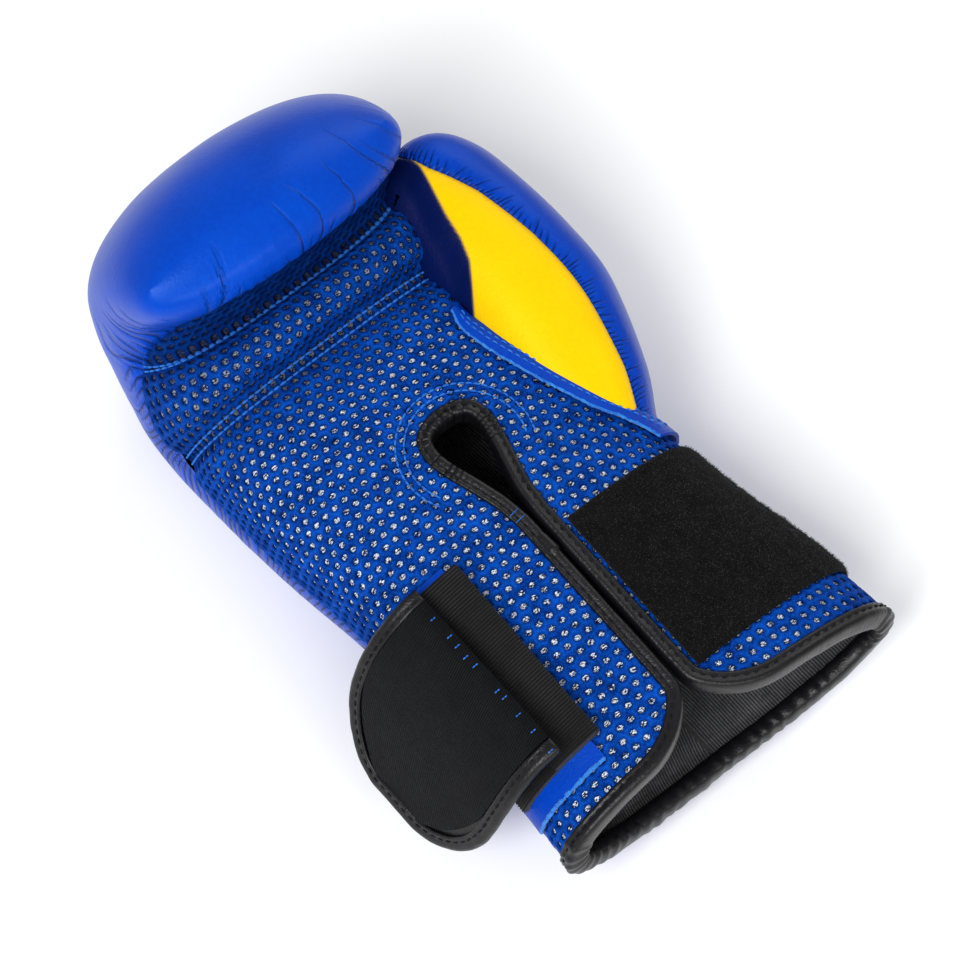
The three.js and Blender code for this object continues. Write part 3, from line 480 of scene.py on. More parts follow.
def add_group(tree, g, inputs=None, links=None):
    n = tree.nodes.new("ShaderNodeGroup")
    n.node_tree = g
    for key, value in (inputs or {}).items():
        n.inputs[key].default_value = value
    for key, socket in (links or {}).items():
        tree.links.new(socket, n.inputs[key])
    return n


def blend(tree, factor, first, second):
    n = put(tree, "Mix", data_type="RGBA")
    if isinstance(factor, (int, float)):
        n.inputs[0].default_value = factor
    else:
        tree.links.new(factor, n.inputs[0])
    for i, c in ((6, first), (7, second)):
        if isinstance(c, tuple):
            n.inputs[i].default_value = (*c, 1.0)
        else:
            tree.links.new(c, n.inputs[i])
    return n.outputs[2]


def ramp(tree, value, low, high):
    n = put(tree, "MapRange", {"From Min": low, "From Max": high}, clamp=True)
    tree.links.new(value, n.inputs["Value"])
    return n.outputs[0]


def bump(tree, shader, height, distance, strength=1.0, base=None):
    n = put(tree, "Bump", {"Distance": distance, "Strength": strength})
    tree.links.new(height, n.inputs["Height"])
    if base is not None:
        tree.links.new(base, n.inputs["Normal"])
    tree.links.new(n.outputs[0], shader.inputs["Normal"])
    return n.outputs[0]


def attribute(tree, name):
    return put(tree, "Attribute", attribute_name=name).outputs["Fac"]


# %% Leather makers
def leather(name, dark, light, roughness, pore, depth, pleated=None, coat=0.0, tint=(1.0, 1.0, 1.0)):
    m, tree, p, where = finish(name, roughness, 0.36, 0.0, coat, tint)
    grain = add_group(tree, GRAIN, {"Pore": pore}, {"Vector": where})
    tone = ramp(tree, grain.outputs["Tone"], 0.3, 0.7)
    colour = blend(tree, tone, dark, light)
    normal = bump(tree, p, grain.outputs["Height"], depth)
    if pleated:
        pitch, reach, deep = pleated
        fold = add_group(tree, PLEATS, {"Pitch": pitch, "Reach": reach},
                         {"Along": attribute(tree, "along"), "Away": attribute(tree, "away")})
        # painted shade: the pleat lines are painted darker, as shade lies in their creases
        shade = maths(tree, "MULTIPLY", fold.outputs["Shade"], 0.6)
        colour = blend(tree, shade, colour, tuple(c * 0.12 for c in dark))
        bump(tree, p, fold.outputs["Height"], deep, 1.0, normal)
    tree.links.new(colour, p.inputs["Base Color"])
    wear = maths(tree, "ADD", maths(tree, "MULTIPLY", tone, 0.10), roughness - 0.05)
    tree.links.new(wear, p.inputs["Roughness"])
    return m


def paint_crotch_shade(m, second):
    """Blends a leather into a second colour by a point attribute, used for the painted shade in the
    thumb's crotch.
    """
    tree = m.node_tree
    p = tree.nodes["Principled BSDF"]
    first = p.inputs["Base Color"].links[0].from_socket
    tree.links.new(blend(tree, attribute(tree, "crotch_shade"), first, second), p.inputs["Base Color"])


# %% Leathers
# the shine of the blue pieces is blue too
BLUE_SHINE = (0.15, 0.45, 1.0)
blue_leather = leather("blue_leather", (0.000, 0.040, 0.39), (0.000, 0.056, 0.49), 0.38, 0.8,
                       0.00008, (3.3, 25.0, 0.0010), 0.05, BLUE_SHINE)
thumb_leather = leather("thumb_blue_leather", (0.000, 0.030, 0.33), (0.000, 0.045, 0.43), 0.38,
                        0.8, 0.00008, (1.9, 6.0, 0.0006), 0.05, BLUE_SHINE)
plain_blue = leather("trim_blue_leather", (0.000, 0.030, 0.33), (0.000, 0.046, 0.44), 0.42, 0.8,
                     0.0001, tint=BLUE_SHINE)
yellow_leather = leather("yellow_leather", (0.84, 0.50, 0.001), (0.90, 0.56, 0.002), 0.42, 0.9,
                         0.00012, tint=(1.0, 0.75, 0.1))
# the yellow panel is painted dark navy where it sinks into the thumb's crotch: painted shade for the
# shaded mesh there
paint_crotch_shade(yellow_leather, (0.0, 0.006, 0.07))
black_leather = leather("black_leather", (0.003, 0.003, 0.004), (0.006, 0.006, 0.007), 0.36, 0.7,
                        0.00014, (2.2, 9.0, 0.0004))
leathers = (blue_leather, thumb_leather, plain_blue, yellow_leather, black_leather)
print("leathers:", [m.name for m in leathers])


# %% Fabric makers
def mesh_fabric():
    m, tree, p, where = finish("blue_air_mesh", 0.78, 0.22, 0.0, 0.0, BLUE_SHINE)
    knit = add_group(tree, YARN, {"Size": 0.17}, {"Vector": where})
    tone = ramp(tree, knit.outputs["Tone"], 0.40, 0.62)
    colour = blend(tree, tone, (0.000, 0.012, 0.13), (0.004, 0.115, 0.72))
    # painted shade: the knit is painted darker at the lower stitch line and most under the overhang of the
    # fist
    painted_knit_shade = attribute(tree, "painted_knit_shade")
    colour = blend(tree, painted_knit_shade, colour, (0.000, 0.005, 0.06))
    # painted shade: the walls of each hole are painted darker the deeper they go
    depth = attribute(tree, "depth")
    colour = blend(tree, maths(tree, "MULTIPLY", depth, 0.95), colour, (0.000, 0.003, 0.03))
    tree.links.new(colour, p.inputs["Base Color"])
    bump(tree, p, knit.outputs["Height"], 0.0005)
    return m


def backing_fabric():
    m, tree, p, where = finish("spacer_yarn", 0.85, 0.2)
    tufts = put(tree, "TexVoronoi", {"Scale": 1050.0, "Randomness": 0.8})
    turned = put(tree, "Mapping", {"Rotation": (0.0, 0.0, 0.70), "Scale": (1.0, 2.1, 1.0)})
    tree.links.new(where, turned.inputs["Vector"])
    tree.links.new(turned.outputs[0], tufts.inputs["Vector"])
    spot = ramp(tree, tufts.outputs["Distance"], 0.62, 0.42)
    # how white the backing shows: partly its own colour, dark where padding lies behind the knit, and
    # partly painted shade on the grip roll's slopes and under the fist
    backing_white_and_shade = attribute(tree, "backing_white_and_shade")
    colour = blend(tree, maths(tree, "MULTIPLY", spot, backing_white_and_shade), (0.002, 0.010, 0.06), (0.78, 0.86, 0.96))
    tree.links.new(colour, p.inputs["Base Color"])
    bump(tree, p, spot, 0.0003)
    return m


def woven(name, dark, light, pitch, twist, roughness, depth, sheen=0.0):
    m, tree, p, where = finish(name, roughness, 0.12, sheen)
    rib = add_group(tree, RIBS, {"Pitch": pitch, "Twist": twist},
                    {"Across": attribute(tree, "across"), "Along": attribute(tree, "along")})
    fibre = add_group(tree, YARN, {"Size": 0.25}, {"Vector": where})
    tone = maths(tree, "MULTIPLY", rib.outputs["Tone"], ramp(tree, fibre.outputs["Tone"], 0.25, 0.7))
    tree.links.new(blend(tree, tone, dark, light), p.inputs["Base Color"])
    height = maths(tree, "ADD", rib.outputs["Height"],
                   maths(tree, "MULTIPLY", fibre.outputs["Height"], 0.5))
    bump(tree, p, height, depth)
    return m


def fuzzy(name, dark, light, size, roughness, sheen):
    m, tree, p, where = finish(name, roughness, 0.08, sheen)
    fibre = add_group(tree, YARN, {"Size": size}, {"Vector": where})
    tree.links.new(blend(tree, ramp(tree, fibre.outputs["Tone"], 0.35, 0.7), dark, light),
                   p.inputs["Base Color"])
    bump(tree, p, fibre.outputs["Height"], 0.0008)
    return m


# %% Fabrics and threads
air_mesh, spacer = mesh_fabric(), backing_fabric()
twill = woven("black_twill", (0.006, 0.006, 0.007), (0.19, 0.19, 0.20), 1.1, 0.0, 0.62,
              0.0003, 0.1)
elastic_weave = woven("black_elastic", (0.001, 0.001, 0.001), (0.026, 0.026, 0.028), 1.15, 0.0,
                      0.6, 0.0002, 0.1)
hook_weave = woven("hook_tape", (0.001, 0.001, 0.0015), (0.012, 0.013, 0.015), 0.9, 0.45, 0.55,
                   0.0003)
pile = fuzzy("loop_pile", (0.001, 0.001, 0.001), (0.007, 0.007, 0.008), 0.6, 0.9, 0.03)
pile_tips = fuzzy("loop_pile_tips", (0.004, 0.004, 0.004), (0.070, 0.070, 0.075), 0.35, 0.7, 0.1)
raw_edge = fuzzy("raw_leather_edge", (0.002, 0.09, 0.50), (0.05, 0.32, 0.85), 0.5, 0.85, 0.2)
blue_thread = fuzzy("blue_thread", (0.006, 0.11, 0.58), (0.03, 0.28, 0.92), 0.3, 0.6, 0.1)
black_thread = fuzzy("black_thread", (0.004, 0.004, 0.005), (0.03, 0.03, 0.034), 0.3, 0.5, 0.0)
fabrics = (air_mesh, spacer, twill, elastic_weave, hook_weave, pile, pile_tips, raw_edge,
           blue_thread, black_thread)
print("fabrics and threads:", [m.name for m in fabrics])

# %% [markdown]
# ## Camera
# The photograph looks down steeply over the little finger side of the cuff with a
# long lens. The camera comes early, because everything after is judged through it.

# %% Camera
# metres to the aim, then millimetres of lens and sensor
DISTANCE, LENS, SENSOR = 1.3697, 146.25, 36.0
aim = Vector((-5.27, -30.0, 42.0)) * 0.001
back = Vector((-0.2717, -0.3237, 0.9063)).normalized()
camera = bpy.data.objects.new("camera", bpy.data.cameras.new("camera"))
bpy.context.scene.collection.objects.link(camera)
camera.location = aim + back * DISTANCE
camera.rotation_mode = "QUATERNION"
camera.rotation_quaternion = (-back).to_track_quat("-Z", "Y")
camera.data.lens = LENS
camera.data.sensor_width = SENSOR
camera.data.clip_start, camera.data.clip_end = 0.05, 20.0
bpy.context.scene.camera = camera
print("camera is", round(camera.location.length, 2), "m from the glove")

# %% [markdown]
# ## The line where leather meets mesh
# One seam runs from the thumb side of the cuff, up round the thumb's crotch, across
# the fist and down the little finger side. Leather gathers along it. Every point of
# the cover needs to know how far it is from that seam and how far along, so the
# seam is measured once and looked up after that.

# %% Seam between leather and mesh
SEAM_ROW = 13.7


def outer_edge(t):
    return np.interp(t, np.arange(len(OUTER_EDGE)), OUTER_EDGE)


def thumb_edge(t):
    t = np.asarray(t, float)
    low = np.interp(row(HAND, t)[..., 0], THUMB_EDGE[:, 0], THUMB_EDGE[:, 1])
    return np.where(t > 7, 2 + 28 * np.clip((t - 10) / 3.6, 0, 1) ** 2, low)


def seam_row(f, side):
    return SEAM_ROW - np.where(side < 0, 3.6, 1.2) * np.clip((f - 0.55) / 0.45, 0, 1) ** 2


def inside_mesh(t, a):
    f = np.where(a < 90, (90 - a) / (90 - thumb_edge(t)), (a - 90) / (outer_edge(t) - 90))
    return (f <= 1) & (t <= seam_row(f, np.where(a < 90, 1, -1)))


def rim_row(a):
    a = np.where(np.asarray(a, float) > 270, np.asarray(a, float) - 360, a)
    return row_at(np.interp(a, RIM[:, 0], RIM[:, 1]))


def seam_spots():
    up = np.linspace(0.3, 12.5, 900)
    f = np.linspace(1, 0, 300)
    down = np.linspace(10.1, 0.3, 700)
    t1, t2 = seam_row(f, np.ones(300)), seam_row(f[::-1], -np.ones(300))
    t = np.concatenate([up, t1, t2, down])
    a = np.concatenate([thumb_edge(up), 90 + (thumb_edge(t1) - 90) * f,
                        90 + (outer_edge(t2) - 90) * f[::-1], outer_edge(down)])
    return t, a


seam_t, seam_a = seam_spots()
seam_line, seam_s = even(hand(seam_t, seam_a), 0.6)
seam_tree = KDTree(len(seam_line))
for n, p in enumerate(seam_line):
    seam_tree.insert(Vector(p), n)
seam_tree.balance()


def from_seam(points, t, a):
    """Distance from the seam, negative on the mesh side, and place along it."""
    flat = points.reshape(-1, 3)
    found = [seam_tree.find(Vector(p)) for p in flat]
    away = np.array([f[2] for f in found]).reshape(points.shape[:-1])
    along = seam_s[np.array([f[1] for f in found])].reshape(points.shape[:-1])
    return np.where(inside_mesh(t, a), -away, away), along


print("seam length:", round(float(seam_s[-1])), "mm")

# %% [markdown]
# ## Fist and back cover
# A single skin of soft leather is pulled over layered foam. It swells away from its
# seam, and the extra length of its edge is taken up in pleats that fan out over the
# fist. The broad swells are in the mesh and the fine pleats are in the material, which also paints shade
# into their creases.

# %% Form under the cover
COLUMNS, CROWN_PASSES = 440, 170
pad_a = -90 + np.arange(COLUMNS) * 360 / COLUMNS
pad_t = np.concatenate([np.linspace(0, 10, 80, endpoint=False),
                        np.linspace(10, 16, 100, endpoint=False), np.linspace(16, 17, 22)])
pt, pa = np.meshgrid(pad_t, pad_a, indexing="ij")
rim = rim_row(pa)
pt = rim + pt / 17 * (17 - rim)
pad_points, pad_normals = skin(pt, pa)
pad_away, pad_along = from_seam(pad_points, pt, pa)
mirror = (COLUMNS // 2 - np.arange(COLUMNS)) % COLUMNS


def rows_beside(points):
    """The row after each row and the one before; past the crown comes the other side."""
    return (np.concatenate([points[1:], points[-2:-1, mirror]]),
            np.concatenate([points[:1], points[:-1]]))


# the rows meet in a ridge over the fist, so its crown is rounded off
soften = smooth(pt, 13.9, 15.3)[..., None] * 0.5
for _ in range(CROWN_PASSES):
    above, below = rows_beside(pad_points)
    ring = np.roll(pad_points, 1, 1) + np.roll(pad_points, -1, 1)
    pad_points = pad_points + soften * ((above + below + ring) / 4 - pad_points)
around = np.roll(pad_points, -1, 1) - np.roll(pad_points, 1, 1)
above, below = rows_beside(pad_points)
pad_normals = np.where(soften > 0, unit(np.cross(above - below, around)), pad_normals)
print("points under the cover:", pad_points.size // 3)


# %% Fist and back cover
def gathers(along, away, pitch, reach, seed):
    """Soft ridges square to a seam, each with its own length."""
    q = np.stack([along, away * 0.0, away * 0.0], -1)
    s = (along + 2.2 * rough(q, 14.0, seed) + 0.10 * away * rough(q, 9.0, seed + 1)) / pitch
    number = np.floor(s)
    own = rough(np.stack([number * 7.3, number * 0 + 3.1, number * 0], -1), 1.0, seed + 2)
    length = reach * (1.0 + 0.55 * own)
    wave = 1 - 2 * np.abs(s - number - 0.5) ** 0.7 * 1.62
    return wave * np.exp(-(np.maximum(away, 0) / length) ** 1.5)


fist = smooth(pt, 6.5, 10.5)
back_low = 1 - smooth(pad_points[..., 2], 2.0, 14.0)
lift = np.where(pad_away > 0, -1.7 * np.exp(-pad_away / 2.0) + smooth(pad_away, 1, 12),
                -1.7 - 2.2 * smooth(-pad_away, 0, 4))
lift = lift * (0.35 + 0.65 * fist)
strength = np.where(pad_away > 0, 0.55 * (0.45 + 0.55 * fist), 0.0)
lift += strength * gathers(pad_along, pad_away, 5.4, 9.0, 5)
lift += 0.35 * rough(pad_points, 34.0, 8) + 0.12 * rough(pad_points, 11.0, 9)
lift = np.where(pad_away > 0, lift * (1 - back_low), lift)
pad = pad_points + pad_normals * lift[..., None]
pad[..., 2] = np.maximum(pad[..., 2], 0.0)
ids = np.arange(pad.shape[0] * COLUMNS).reshape(-1, COLUMNS)
# both sides of the fist share the points of the last row
ids[-1] = ids[-1, np.minimum(np.arange(COLUMNS), mirror)]
pad[-1] = (pad[-1] + pad[-1, mirror]) / 2
pad_faces = grid_faces(pad.shape[0], COLUMNS, closed=True, flip=True)
quads = ids.ravel()[pad_faces]
deep = pad_away.ravel()[quads].max(axis=1) < -5.0
quads = quads[~deep]
used, where = np.unique(quads, return_inverse=True)
fist_cover = make("fist_and_back_cover", pad.reshape(-1, 3)[used], where.reshape(-1, 4),
                  blue_leather,
                  {"along": pad_along.ravel()[used], "away": pad_away.ravel()[used]})
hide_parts("back_pad")
pad_shell = BVHTree.FromPolygons([tuple(p) for p in pad.reshape(-1, 3)], pad_faces.tolist())

# %% [markdown]
# ## Laying out the air mesh
# Air mesh is a knit with a hexagon of yarn round every hole. To keep its holes even
# on a curved palm, the pattern is drawn flat, in millimetres of cloth, and then
# carried to the form by arc length, which is what the real cloth does.

# %% Flat cloth to palm
map_t = np.linspace(0.2, 15.0, 371)
map_a = np.linspace(-60, 240, 901)
arcs = np.linalg.norm(np.diff(hand(map_t[:, None], map_a[None]), axis=1), axis=2)
arcs = np.concatenate([np.zeros((len(map_t), 1)), np.cumsum(arcs, axis=1)], axis=1)
zero_a = angle_at(map_t, np.full(len(map_t), -10.0))
arcs -= np.array([np.interp(z, map_a, line) for z, line in zip(zero_a, arcs)])[:, None]
run = np.concatenate([[0], np.cumsum(np.linalg.norm(np.diff(hand(map_t, zero_a), axis=0), axis=1))])


def on_palm(u, v):
    """Row and angle of a spot of cloth u mm across and v mm up from the cuff."""
    t = np.interp(v, run, map_t)
    u = u * np.interp(v, [0, 190], [1.09, 1.0])
    k = np.clip(np.searchsorted(map_t, t) - 1, 0, len(map_t) - 2)
    f = np.clip((t - map_t[k]) / (map_t[k + 1] - map_t[k]), 0, 1)
    a = np.zeros_like(t)
    for j in np.unique(k):
        m = k == j
        low, high = np.interp(u[m], arcs[j], map_a), np.interp(u[m], arcs[j + 1], map_a)
        a[m] = low + (high - low) * f[m]
    return t, a


print("cloth from cuff to fist:", round(float(np.interp(SEAM_ROW, map_t, run))), "mm")


# %% Openings and relief of the cloth
def half_open(share):
    """Half width of the slit and keyhole at a share of the glove's reach."""
    w = (SLIT + (KEYHOLE - SLIT) * np.interp(share, OPENING[:, 0], OPENING[:, 2])) / 2
    end = np.clip((share - 0.5) / (OPENING_END - 0.5), 0, 1)
    return w * np.sqrt(1 - end ** 2)


def middle(share):
    """Middle line of the slit and keyhole."""
    return np.interp(share, OPENING[:, 0], OPENING[:, 1]) * SPREAD


def open_air(t, a, margin):
    """True where the slit, the keyhole or the rim leaves no cloth."""
    share = row(HAND, np.minimum(t, 7))[..., 0]
    x = hand(t, a)[..., 0]
    up = (share - np.interp(a, RIM[:, 0], RIM[:, 1])) * REACH
    turn = CORNER - np.sqrt(np.maximum(CORNER ** 2 - (CORNER - np.clip(up, 0, CORNER)) ** 2, 0))
    w = half_open(share) + np.where(up < CORNER, turn, 0) + margin
    palm = (a > 20) & (a < 160) & (t < 6)
    return palm & (np.abs(x - middle(share)) < w) & (share < OPENING_END + margin / REACH) | (up < margin)


LINE_ROWS = (7.0, 10.25)
LINE_V = [float(np.interp(t, map_t, run)) for t in LINE_ROWS]
KEY_SHARE, KEY_RINGS = 0.470, (21.5, 24.5)
KEY_CENTRE = hand(row_at(KEY_SHARE), angle_at(row_at(KEY_SHARE), middle(KEY_SHARE)))


def palm_relief(t, a, points, v=None):
    """Height of the cloth: it sinks at stitch lines and along its border."""
    away, along = from_seam(points, t, a)
    v = np.interp(t, map_t, run) if v is None else v
    h = np.zeros_like(v)
    for at, deep, wide in zip(LINE_V, (3.0, 1.6), (4.2, 3.2)):
        h -= deep * np.exp(-((v - at) / wide) ** 2) + 0.8 * np.exp(-((v - at) / 1.6) ** 2)
    between = (v - LINE_V[0]) / (LINE_V[1] - LINE_V[0])
    h += 1.6 * np.sin(math.pi * np.clip(between, 0, 1)) ** 2
    ring = np.hypot(*(points - KEY_CENTRE)[..., :2].T).T
    stitched = points[..., 1] > KEY_CENTRE[1] - 14
    for radius in KEY_RINGS:
        h -= 0.5 * np.exp(-((ring - radius) / 1.1) ** 2) * stitched
    h -= 1.2 * smooth(-away, 3.5, 0.0) + smooth(away, 0, 2)
    h -= 3.5 * smooth(away, -0.6, 1.4) * (a < 90)
    thumbward = smooth(points[..., 0], 2, 30)
    h += (0.15 + 0.45 * thumbward) * np.exp(-np.abs(v - LINE_V[0] + 7) / 7) * np.sin(
        v * 1.75 + 1.2 * rough(points, 12.0, 4)) * (v < LINE_V[0])
    h += 0.25 * rough(points, 22.0, 6)
    edge = (along > 60) & (along < 175)
    h += 0.4 * edge * np.exp(away / 7) * np.sin(along * 1.7) * (away < 0)
    return h


print("stitch lines of the grip:", [round(v) for v in LINE_V], "mm up the cloth")

# %% [markdown]
# ## Palm mesh
# Each cell of the knit is a hexagon of yarn with a round hole through it. Neighbours
# share the outer points, so the yarn between two holes shades as one round strand.
# The holes are real openings, and under them lies the pale backing of the cloth.

# %% Cells of the knit
# cell width, depth of the backing, points round a hole
PITCH, BACKING, AROUND = 4.4, 1.15, 12


def cell_rows():
    """Heights of the rows of cells, which lie closer on the fist."""
    v, out = 1.0, []
    while v < np.interp(14.6, map_t, run):
        out.append(v)
        v += float(np.interp(v, [40, 150, 190], [4.15, 3.75, 3.45]))
    return np.array(out)


def cells():
    """Middle and outer points of every cell on the flat cloth."""
    v = cell_rows()
    step = np.diff(v, append=2 * v[-1] - v[-2])
    below = np.diff(v, prepend=2 * v[0] - v[1])
    k = np.arange(-30, 31)
    n, kk = np.meshgrid(np.arange(len(v)), k, indexing="ij")
    u = (kk + 0.5 * (n % 2)) * PITCH
    c = np.stack([u, v[n]], -1).reshape(-1, 2)
    up, down = step[n].ravel(), below[n].ravel()
    w = PITCH / 2
    zero = np.zeros_like(up)
    corner = [(zero, up * 2 / 3), (zero - w, up / 3), (zero - w, -down / 3), (zero, -down * 2 / 3),
              (zero + w, -down / 3), (zero + w, up / 3)]
    ring = []
    for j in range(6):
        p, q = corner[j], corner[(j + 1) % 6]
        ring += [np.stack(p, -1), np.stack([(p[0] + q[0]) / 2, (p[1] + q[1]) / 2], -1)]
    return c, c[:, None] + np.stack(ring, 1)


centre, ring = cells()
ct, ca = on_palm(centre[:, 0], centre[:, 1])
caway = from_seam(hand(ct, ca), ct, ca)[0]
share = row(HAND, np.minimum(ct, 7))[:, 0]
loop_a = angle_at(ct, np.full(len(ct), PATCH_EDGE * SPREAD))
strap_a = angle_at(ct, np.full(len(ct), -0.33 * SPREAD))
under_patch = (share > 0.078) & (share < 0.300) & (ca < loop_a - 6) & (ct < 5)
under_strap = (share > 0.09) & (share < 0.345) & (ca > strap_a + 4) & (ca < 172) & (ct < 5)
keep = (caway < 1.2) & ~open_air(ct, ca, 0.9) & ~under_patch & ~under_strap
centre, ring, ct = centre[keep], ring[keep], ct[keep]
print("holes in the mesh:", len(centre))

# %% Palm mesh
angle = np.arctan2(ring[..., 1] - centre[:, None, 1], ring[..., 0] - centre[:, None, 0])
wide = np.interp(ct, [6.5, 8, 10.5, 11.5], [1.30, 1.30, 1.30, 1.46])[:, None]
high = np.interp(ct, [6.5, 8, 10.5, 11.5], [1.08, 1.10, 1.06, 1.04])[:, None]
hole = centre[:, None] + np.stack([wide * np.cos(angle), high * np.sin(angle)], -1)
keys = np.round(ring.reshape(-1, 2), 2)
corners, corner_id = np.unique(keys, axis=0, return_inverse=True)
corner_id = corner_id.reshape(-1, AROUND)


def laid(flat, lift):
    """Spots of the flat cloth, carried to the palm."""
    t, a = on_palm(flat[:, 0], flat[:, 1])
    p, n = skin(t, a)
    return p + n * (palm_relief(t, a, p, flat[:, 1]) + lift)[:, None]


jitter = 0.10 * rough(np.stack([corners[:, 0], corners[:, 1], corners[:, 0] * 0], -1), 1.3, 3)
top = laid(corners, 0.15 + jitter)
flat_hole = hole.reshape(-1, 2)
lip = laid(flat_hole, -0.30)
flat_low = (centre[:, None] + (hole - centre[:, None]) * 0.94).reshape(-1, 2)
low = laid(flat_low, -BACKING)
n_top, n_lip = len(top), len(lip)
lip_id = n_top + np.arange(n_lip).reshape(-1, AROUND)
low_id = lip_id + n_lip
nx = np.roll(np.arange(AROUND), -1)
faces = np.concatenate([
    np.stack([corner_id, corner_id[:, nx], lip_id[:, nx], lip_id], -1).reshape(-1, 4),
    np.stack([lip_id, lip_id[:, nx], low_id[:, nx], low_id], -1).reshape(-1, 4)])
# 0 at the strands and 1 at the bottom of each hole, for the painted shade inside the holes
depth = np.concatenate([np.zeros(n_top), np.full(n_lip, 0.45), np.ones(n_lip)])
every_v = np.concatenate([corners[:, 1], flat_hole[:, 1], flat_low[:, 1]])
# painted shade on the knit: darker at the stitch line nearer the cuff, then most from the upper stitch
# line up under the fist
painted_knit_shade = np.interp(every_v, [LINE_V[0] - 6, LINE_V[0], LINE_V[0] + 9, LINE_V[1] - 8, LINE_V[1] - 2,
                          LINE_V[1] + 4], [0.0, 0.35, 0.10, 0.12, 0.45, 0.62])
palm_cloth = make("palm_air_mesh", np.concatenate([top, lip, low]), faces, air_mesh,
                  {"depth": depth, "painted_knit_shade": painted_knit_shade})

# %% Backing of the mesh
bt = np.concatenate([np.linspace(0.45, 7, 120, endpoint=False), np.linspace(7, 14.4, 110)])
ba = np.linspace(-9, 190, 200)
btt, baa = np.meshgrid(bt, ba, indexing="ij")
bp, bn = skin(btt, baa)
baway = from_seam(bp, btt, baa)[0]
backing = bp + bn * (palm_relief(btt, baa, bp) - BACKING)[..., None]
quads = grid_faces(*btt.shape)
gone = (baway > 1.5) | open_air(btt, baa, 0.4)
quads = quads[~gone.ravel()[quads].any(axis=1)]
used, where = np.unique(quads, return_inverse=True)
# real colour and painted shade in one: dark where padding replaces the white backing, and painted dark
# where the holes lie in shade on the roll's slopes and under the fist
backing_white_and_shade = np.interp(btt, [5.9, 6.5, 7.2, 8.2, 8.8, 9.4, 10.2], [1.0, 0.30, 0.10, 0.40, 0.40, 0.14, 0.04])
backing_cloth = make("palm_mesh_backing", backing.reshape(-1, 3)[used], where.reshape(-1, 4)[:, ::-1],
                     spacer, {"backing_white_and_shade": backing_white_and_shade.ravel()[used]})
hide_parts("palm_mesh")

# %% [markdown]
# ## Stitches
# A stitch is a short spindle of thread, thickest in its middle, where it leaves the
# cloth and dives in again. Rows of them are made from any line on the surface.

# %% Stitch maker
# height and thickness of a stitch at each of its rings, in radii
ARCH = np.array([-0.7, 0.15, 0.35, 0.15, -0.7])
THICK = np.array([0.45, 0.95, 1.0, 0.95, 0.45])
RINGS, SIDES = len(ARCH), 6


def stitch_row(line, normals, length, gap, radius, lift):
    """Points and faces of the stitches in one row, and their number."""
    line, at, normals = even(line, 0.4, extra=(normals,))
    q = np.linspace(0, math.tau, SIDES, endpoint=False)
    points, faces = [], []
    s = gap
    while s + length < at[-1]:
        f = np.linspace(s, s + length, RINGS)
        c = np.stack([np.interp(f, at, line[:, k]) for k in range(3)], -1)
        n = unit(np.stack([np.interp(f, at, normals[:, k]) for k in range(3)], -1))
        side = unit(np.cross(unit(np.gradient(c, axis=0)), n))
        c = c + n * (lift + ARCH * radius)[:, None]
        thick = (THICK * radius)[:, None]
        ring = (c[:, None] + side[:, None] * (np.cos(q) * thick)[..., None]
                + n[:, None] * (np.sin(q) * thick)[..., None])
        start = len(points) * RINGS * SIDES
        faces.append(grid_faces(RINGS, SIDES, closed=True, start=start, flip=True))
        points.append(ring.reshape(-1, 3))
        s += length + gap
    return np.concatenate(points), np.concatenate(faces), len(points)


def stitches(name, rows, material):
    """One piece from rows of (line, normals, length, gap, radius, lift)."""
    points, faces, total = [], [], 0
    for r in rows:
        p, f, count = stitch_row(*r)
        first = [total + k * RINGS * SIDES for k in range(count)]
        last = [k + (RINGS - 1) * SIDES for k in first]
        faces += (f + total).tolist()
        faces += [list(range(k, k + SIDES)) for k in first]
        faces += [list(range(k, k + SIDES))[::-1] for k in last]
        points.append(p)
        total += len(p)
    return make(name, np.concatenate(points), faces, material)


# %% Grip and keyhole stitches
def palm_line(t, a):
    """Points on the relief of the cloth, and the directions out of it."""
    p, n = skin(t, a)
    return p + n * palm_relief(t, a, p)[..., None], n


rows = []
for v, low, high in zip(LINE_V, (12, 14), (170, 158)):
    for shift in (-1.1, 1.1):
        a = np.linspace(high, low, 160)
        t = np.full(len(a), np.interp(v + shift, run, map_t))
        line, n = palm_line(t, a)
        rows.append((line, n, 2.6, 0.2, 0.42, 0.60))
stitches("grip_stitches", rows, blue_thread)
rows = []
for radius in KEY_RINGS:
    q = np.radians(np.linspace(-25, 212, 150))
    x = KEY_CENTRE[0] + radius * np.cos(q)
    y = KEY_CENTRE[1] + radius * np.sin(q)
    t = row_at((y + Y0) / REACH)
    line, n = palm_line(t, angle_at(t, x))
    rows.append((line, n, 2.4, 0.3, 0.38, 0.40))
stitches("keyhole_stitches", rows, blue_thread)

# %% [markdown]
# ## Thumb
# The thumb is a padded tube of its own. Blue leather wraps its outside and a yellow
# panel faces the palm. Both are drawn down to one seam, and the blue edge is
# gathered because it is the longer of the two.

# %% Thumb sides
thumb_t = np.concatenate([np.linspace(0.1, 6.6, 170, endpoint=False), np.linspace(6.6, 8, 46)])
seam_angle = np.interp(thumb_t, THUMB_SEAM[:, 0], THUMB_SEAM[:, 1])
seam_thumb = tube(THUMB, thumb_t, seam_angle)
thumb_s = np.concatenate([[0], np.cumsum(np.linalg.norm(np.diff(seam_thumb, axis=0), axis=1))])


